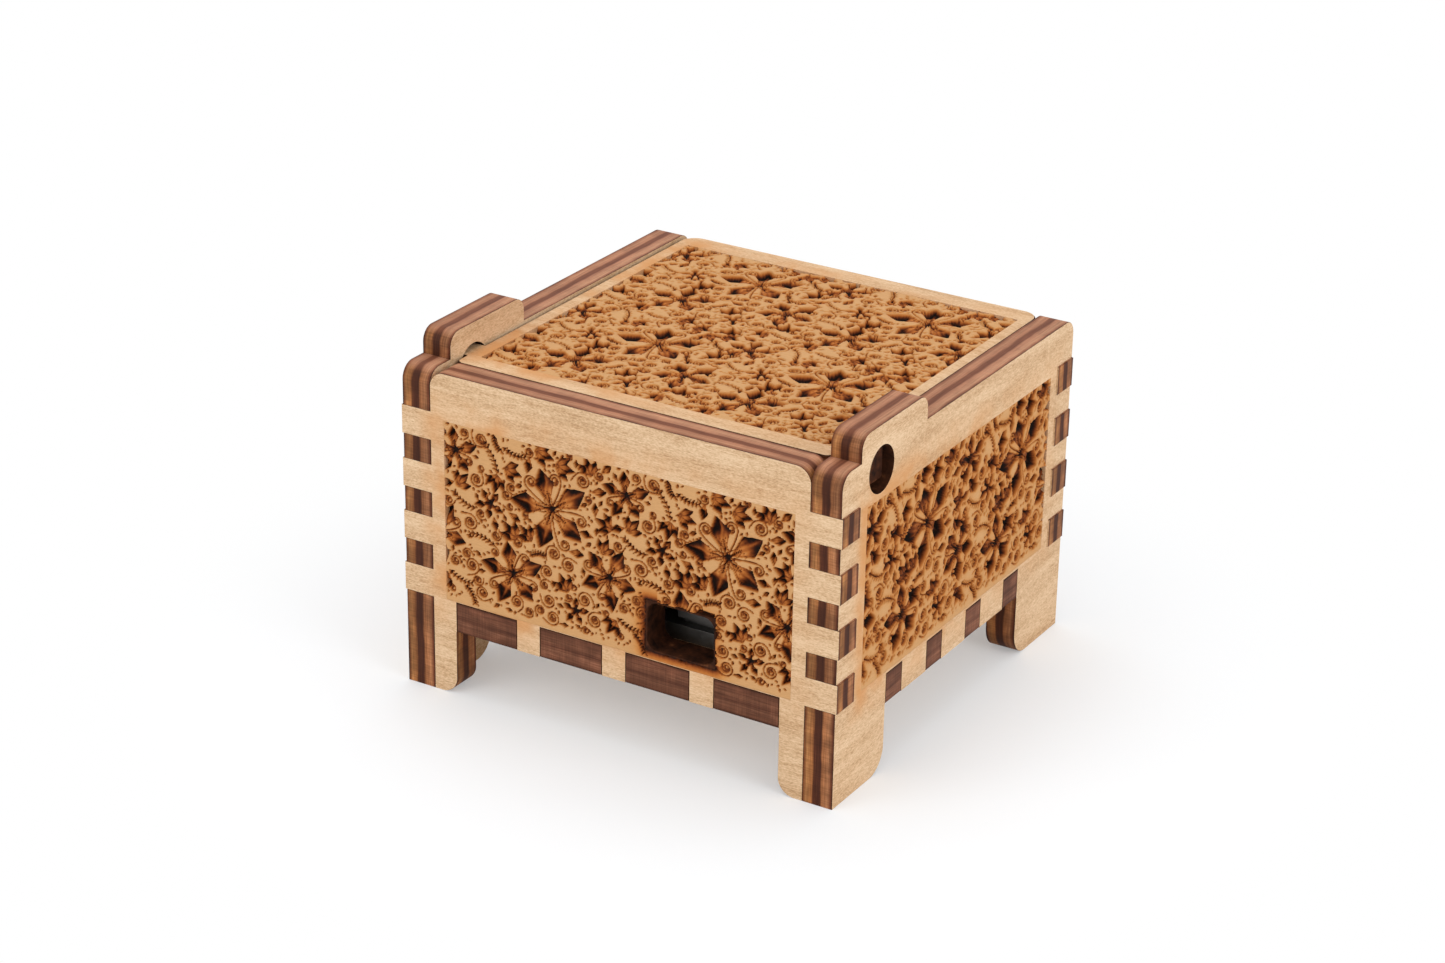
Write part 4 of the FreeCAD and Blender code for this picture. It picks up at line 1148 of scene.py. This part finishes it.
def window_char_and_shade():
    """Box of the cuts and rim of the window, charred and darkened with painted shade."""
    low = (WINDOW_X[0] - WINDOW_DARK_REACH, -HALF_Y - FACE_SLACK, WINDOW_Z[0] - WINDOW_DARK_REACH)
    high = (WINDOW_X[1] + WINDOW_DARK_REACH, -HALF_Y + WINDOW_DARK_DEPTH, WINDOW_Z[1] + WINDOW_DARK_REACH)
    return low, high, True


def pivot_char_and_shade(near, far, reach):
    """Box of the cuts along the lid's pivot axis, from one x to another, charred and darkened with
    painted shade.
    """
    low = (near, PIVOT_Y - reach, PIVOT_Z - reach - FACE_SLACK / 2)
    high = (far, PIVOT_Y + reach, PIVOT_Z + reach + FACE_SLACK / 2)
    return low, high, False


def case_panels():
    """Four walls, the lid and the base."""
    hinge = Carving((1, 0, 0), (0, 0, 1), (0, -1, 0), WALL_FIELD, WALL_RISE, HALF_Y, RELIEF_STEP,
                    window=window_in_field())
    front = Carving((-1, 0, 0), (0, 0, 1), (0, 1, 0), WALL_FIELD, WALL_RISE, HALF_Y, RELIEF_STEP)
    right = Carving((0, 1, 0), (0, 0, 1), (1, 0, 0), SIDE_FIELD, SIDE_RISE, HALF_X, RELIEF_STEP,
                    **SIDE_LOOK_WITH_PAINTED_SHADE)
    left = Carving((0, -1, 0), (0, 0, 1), (-1, 0, 0), SIDE_FIELD, SIDE_RISE, HALF_X, RELIEF_STEP,
                   **SIDE_LOOK_WITH_PAINTED_SHADE)
    top = Carving((1, 0, 0), (0, 1, 0), (0, 0, 1), LID_FIELD, LID_RISE, LID_TOP, LID_STEP,
                  force=LID_FORCE, repeat_up=True)
    holes = [pivot_char_and_shade(-HALF_X - FACE_SLACK, HALF_X + FACE_SLACK, HOLE_REACH)]
    tab_ends = [pivot_char_and_shade(end - TAB_END_SLACK, end + TAB_END_SLACK, TAB_REACH)
                for end in (-TAB_END, TAB_END)]
    plywood_panel("hinge_wall", "case", "y", "x", hinge, openings=[window_char_and_shade()])
    plywood_panel("front_wall", "case", "y", "x", front)
    plywood_panel("right_wall", "case", "x", "y", right, openings=holes)
    plywood_panel("left_wall", "case", "x", "y", left, openings=holes)
    plywood_panel("lid", "lid", "z", "x", top, openings=tab_ends)
    plywood_panel("base_panel", "case", "z", "x", plies=BASE_PLIES)


# Movement

PATCH = 4.0
DULL_SHARE = 0.78
BRUSH_RANGE = (0.3, 0.7)
ROUGHNESS_SWING = (-0.08, 0.10)


def metal(name, shade, roughness, brushed, lines):
    """Metal with dull patches, and with fine brush lines in its roughness and surface."""
    finish = Finish(name)
    brush = finish.noise(lines, detail=3.0, roughness=0.6)
    patches = finish.noise(even(PATCH))
    dull = (*(value * DULL_SHARE for value in shade[:3]), 1.0)
    finish.colour(finish.ramp(patches, ((0.30, dull), (0.70, shade))))
    smooth, rough = (roughness + swing for swing in ROUGHNESS_SWING)
    finish.link(finish.spread(brush, *BRUSH_RANGE, smooth, rough), finish.shader.inputs["Roughness"])
    finish.set(Metallic=1.0)
    finish.bump(brush, strength=brushed, distance=0.02)
    return finish.material


PLASTIC_SPECKLE = 0.6
PLASTIC_TONES = ((0.3, linear(24, 24, 26)), (0.7, linear(40, 40, 43)))


def plastic(name):
    """Dark moulded plastic with a fine speckle."""
    finish = Finish(name)
    speckle = finish.noise(even(PLASTIC_SPECKLE), detail=3.0)
    finish.colour(finish.ramp(speckle, PLASTIC_TONES))
    finish.set(Roughness=0.48)
    finish.bump(speckle, strength=0.15, distance=0.03)
    return finish.material


# Bedplate and comb block are nickel plated; their dark colour is painted shade inside the case
SHADED_NICKEL_NODES = ("comb_block", "bedplate")
PLATE_NODES = ("bedplate", "comb_block", "barrel_bridge", "governor_frame", "click", "left_bearing",
               "right_bearing", "barrel_cover", "winding_key", "bridge_pillars")
SCREW_NODES = ("comb_screws", "bridge_screws", "click_screw", "mounting_screws", "governor_screw")
METALS = {
    # finish: material name, colour, roughness, depth of the brush lines, their length along x, y and z
    # Dark nickel: painted shade on the plated parts inside the case
    "cast": ("nickel_painted_shade", (0.20, 0.19, 0.18, 1.0), 0.52, 0.20, (0.5, 0.5, 0.5)),
    "nickel_plate": ("satin_nickel", (0.76, 0.75, 0.72, 1.0), 0.30, 0.10, (3.0, 0.12, 0.12)),
    "steel": ("brushed_steel", (0.60, 0.60, 0.61, 1.0), 0.34, 0.16, (0.10, 2.4, 0.10)),
    "brass": ("turned_brass", (0.78, 0.56, 0.24, 1.0), 0.30, 0.14, (0.12, 1.6, 1.6)),
}


def islands(piece):
    """Lowest and highest corner of each loose shape in a piece."""
    group = list(range(len(piece.data.vertices)))

    def root(index):
        while group[index] != index:
            index = group[index]
        return index

    for edge in piece.data.edges:
        group[root(edge.vertices[0])] = root(edge.vertices[1])
    shapes = {}
    for vertex in piece.data.vertices:
        shapes.setdefault(root(vertex.index), []).append(vertex.co.copy())
    boxes = []
    for corners in shapes.values():
        low = Vector([min(corner[axis] for corner in corners) for axis in range(3)])
        high = Vector([max(corner[axis] for corner in corners) for axis in range(3)])
        boxes.append((low, high))
    return boxes


def cut_slots(piece, below):
    """Screwdriver slot across the head of each screw."""
    for low, high in islands(piece):
        head = low.z if below else high.z
        middle = Vector(((low.x + high.x) / 2, (low.y + high.y) / 2, head))
        half = Vector(((high.x - low.x) * SLOT_REACH, SLOT_WIDTH * MM / 2, SLOT_DEPTH * MM))
        carve_out(piece, box_between(middle - half, middle + half, "slot"))


def detailed(node, finish, body):
    """Copy of a node with broken edges, and slots if it is screws, shown in the node's place."""
    piece = piece_from(node, node + "_detail", [finish])
    break_edges(piece, BROKEN_EDGE, segments=2)
    if node in SCREW_NODES:
        cut_slots(piece, below=node == "mounting_screws")
    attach(piece, body)
    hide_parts(node)


def movement():
    """Metal and plastic for the movement, and finer copies of its plates and screws."""
    finishes = {slot: metal(*values) for slot, values in METALS.items()}
    finishes["dark_plastic"] = plastic("moulded_plastic")
    bodies = frame["record"]["behaviour"]["bodies"]
    for part in frame["record"]["subparts"]:
        node = part["node"]
        slot = part["material_slot"]
        if slot not in finishes:
            continue
        # The bedplate and comb block take the painted-shade nickel instead of their plated finish
        finish = finishes["cast" if node in SHADED_NICKEL_NODES else slot]
        if node in PLATE_NODES + SCREW_NODES:
            body = next(name for name, members in bodies.items() if node in members)
            detailed(node, finish, body)
        else:
            for holder in frame["nodes"][node].material_slots:
                holder.material = finish


# Stage

def camera():
    data = bpy.data.cameras.new("camera")
    data.lens = CAMERA_LENS
    data.sensor_width = CAMERA_SENSOR
    data.clip_start = CAMERA_NEAR
    eye = bpy.data.objects.new("camera", data)
    bpy.context.collection.objects.link(eye)
    turn = Matrix.Rotation(math.radians(CAMERA_TURN), 4, "Z")
    pitch = Matrix.Rotation(math.radians(90.0 - CAMERA_PITCH), 4, "X")
    roll = Matrix.Rotation(math.radians(CAMERA_ROLL), 4, "Z")
    eye.matrix_world = Matrix.Translation(CAMERA_PLACE) @ turn @ pitch @ roll
    bpy.context.scene.camera = eye


def world():
    """White background over an even light."""
    sky = bpy.data.worlds.new("studio")
    sky.use_nodes = True
    nodes = Nodes(sky.node_tree)
    background = nodes.tree.nodes["Background"].inputs
    background["Color"].default_value = WHITE
    nodes.link(nodes.spread(nodes.seen_directly(), 0.0, 1.0, WORLD_LIGHT, 1.0), background["Strength"])
    bpy.context.scene.world = sky


def lamps():
    for name, place, size, power in LAMPS:
        data = bpy.data.lights.new(name, "AREA")
        data.size = size
        data.energy = power
        lamp = bpy.data.objects.new(name, data)
        bpy.context.collection.objects.link(lamp)
        lamp.location = place
        lamp.rotation_euler = (Vector(AIM) - Vector(place)).to_track_quat("-Z", "Y").to_euler()


def floor():
    """Pale floor that shows the shadow near the object and turns plain white away from it."""
    bpy.ops.object.select_all(action="DESELECT")
    bpy.ops.mesh.primitive_plane_add(size=FLOOR_SIZE)
    plane = bpy.context.active_object
    plane.name = "floor"
    finish = Finish("pale_floor")
    finish.set(Base_Color=FLOOR_SHADE, Roughness=0.9)
    glow = finish.add("Emission")
    distance = finish.add("VectorMath", operation="LENGTH")
    finish.link(finish.place(), distance.inputs[0])
    away = finish.spread(distance.outputs["Value"], *SHADOW_REACH, start=SHADOW_FADE)
    mix = finish.add("MixShader")
    finish.link(finish.times(away, finish.seen_directly()), mix.inputs["Fac"])
    finish.link(finish.shader.outputs[0], mix.inputs[1])
    finish.link(glow.outputs[0], mix.inputs[2])
    finish.link(mix.outputs[0], finish.tree.nodes["Material Output"].inputs["Surface"])
    plane.data.materials.append(finish.material)


bpy.context.scene.view_settings.view_transform = "Standard"
camera()
world()
lamps()
floor()
case_panels()
movement()
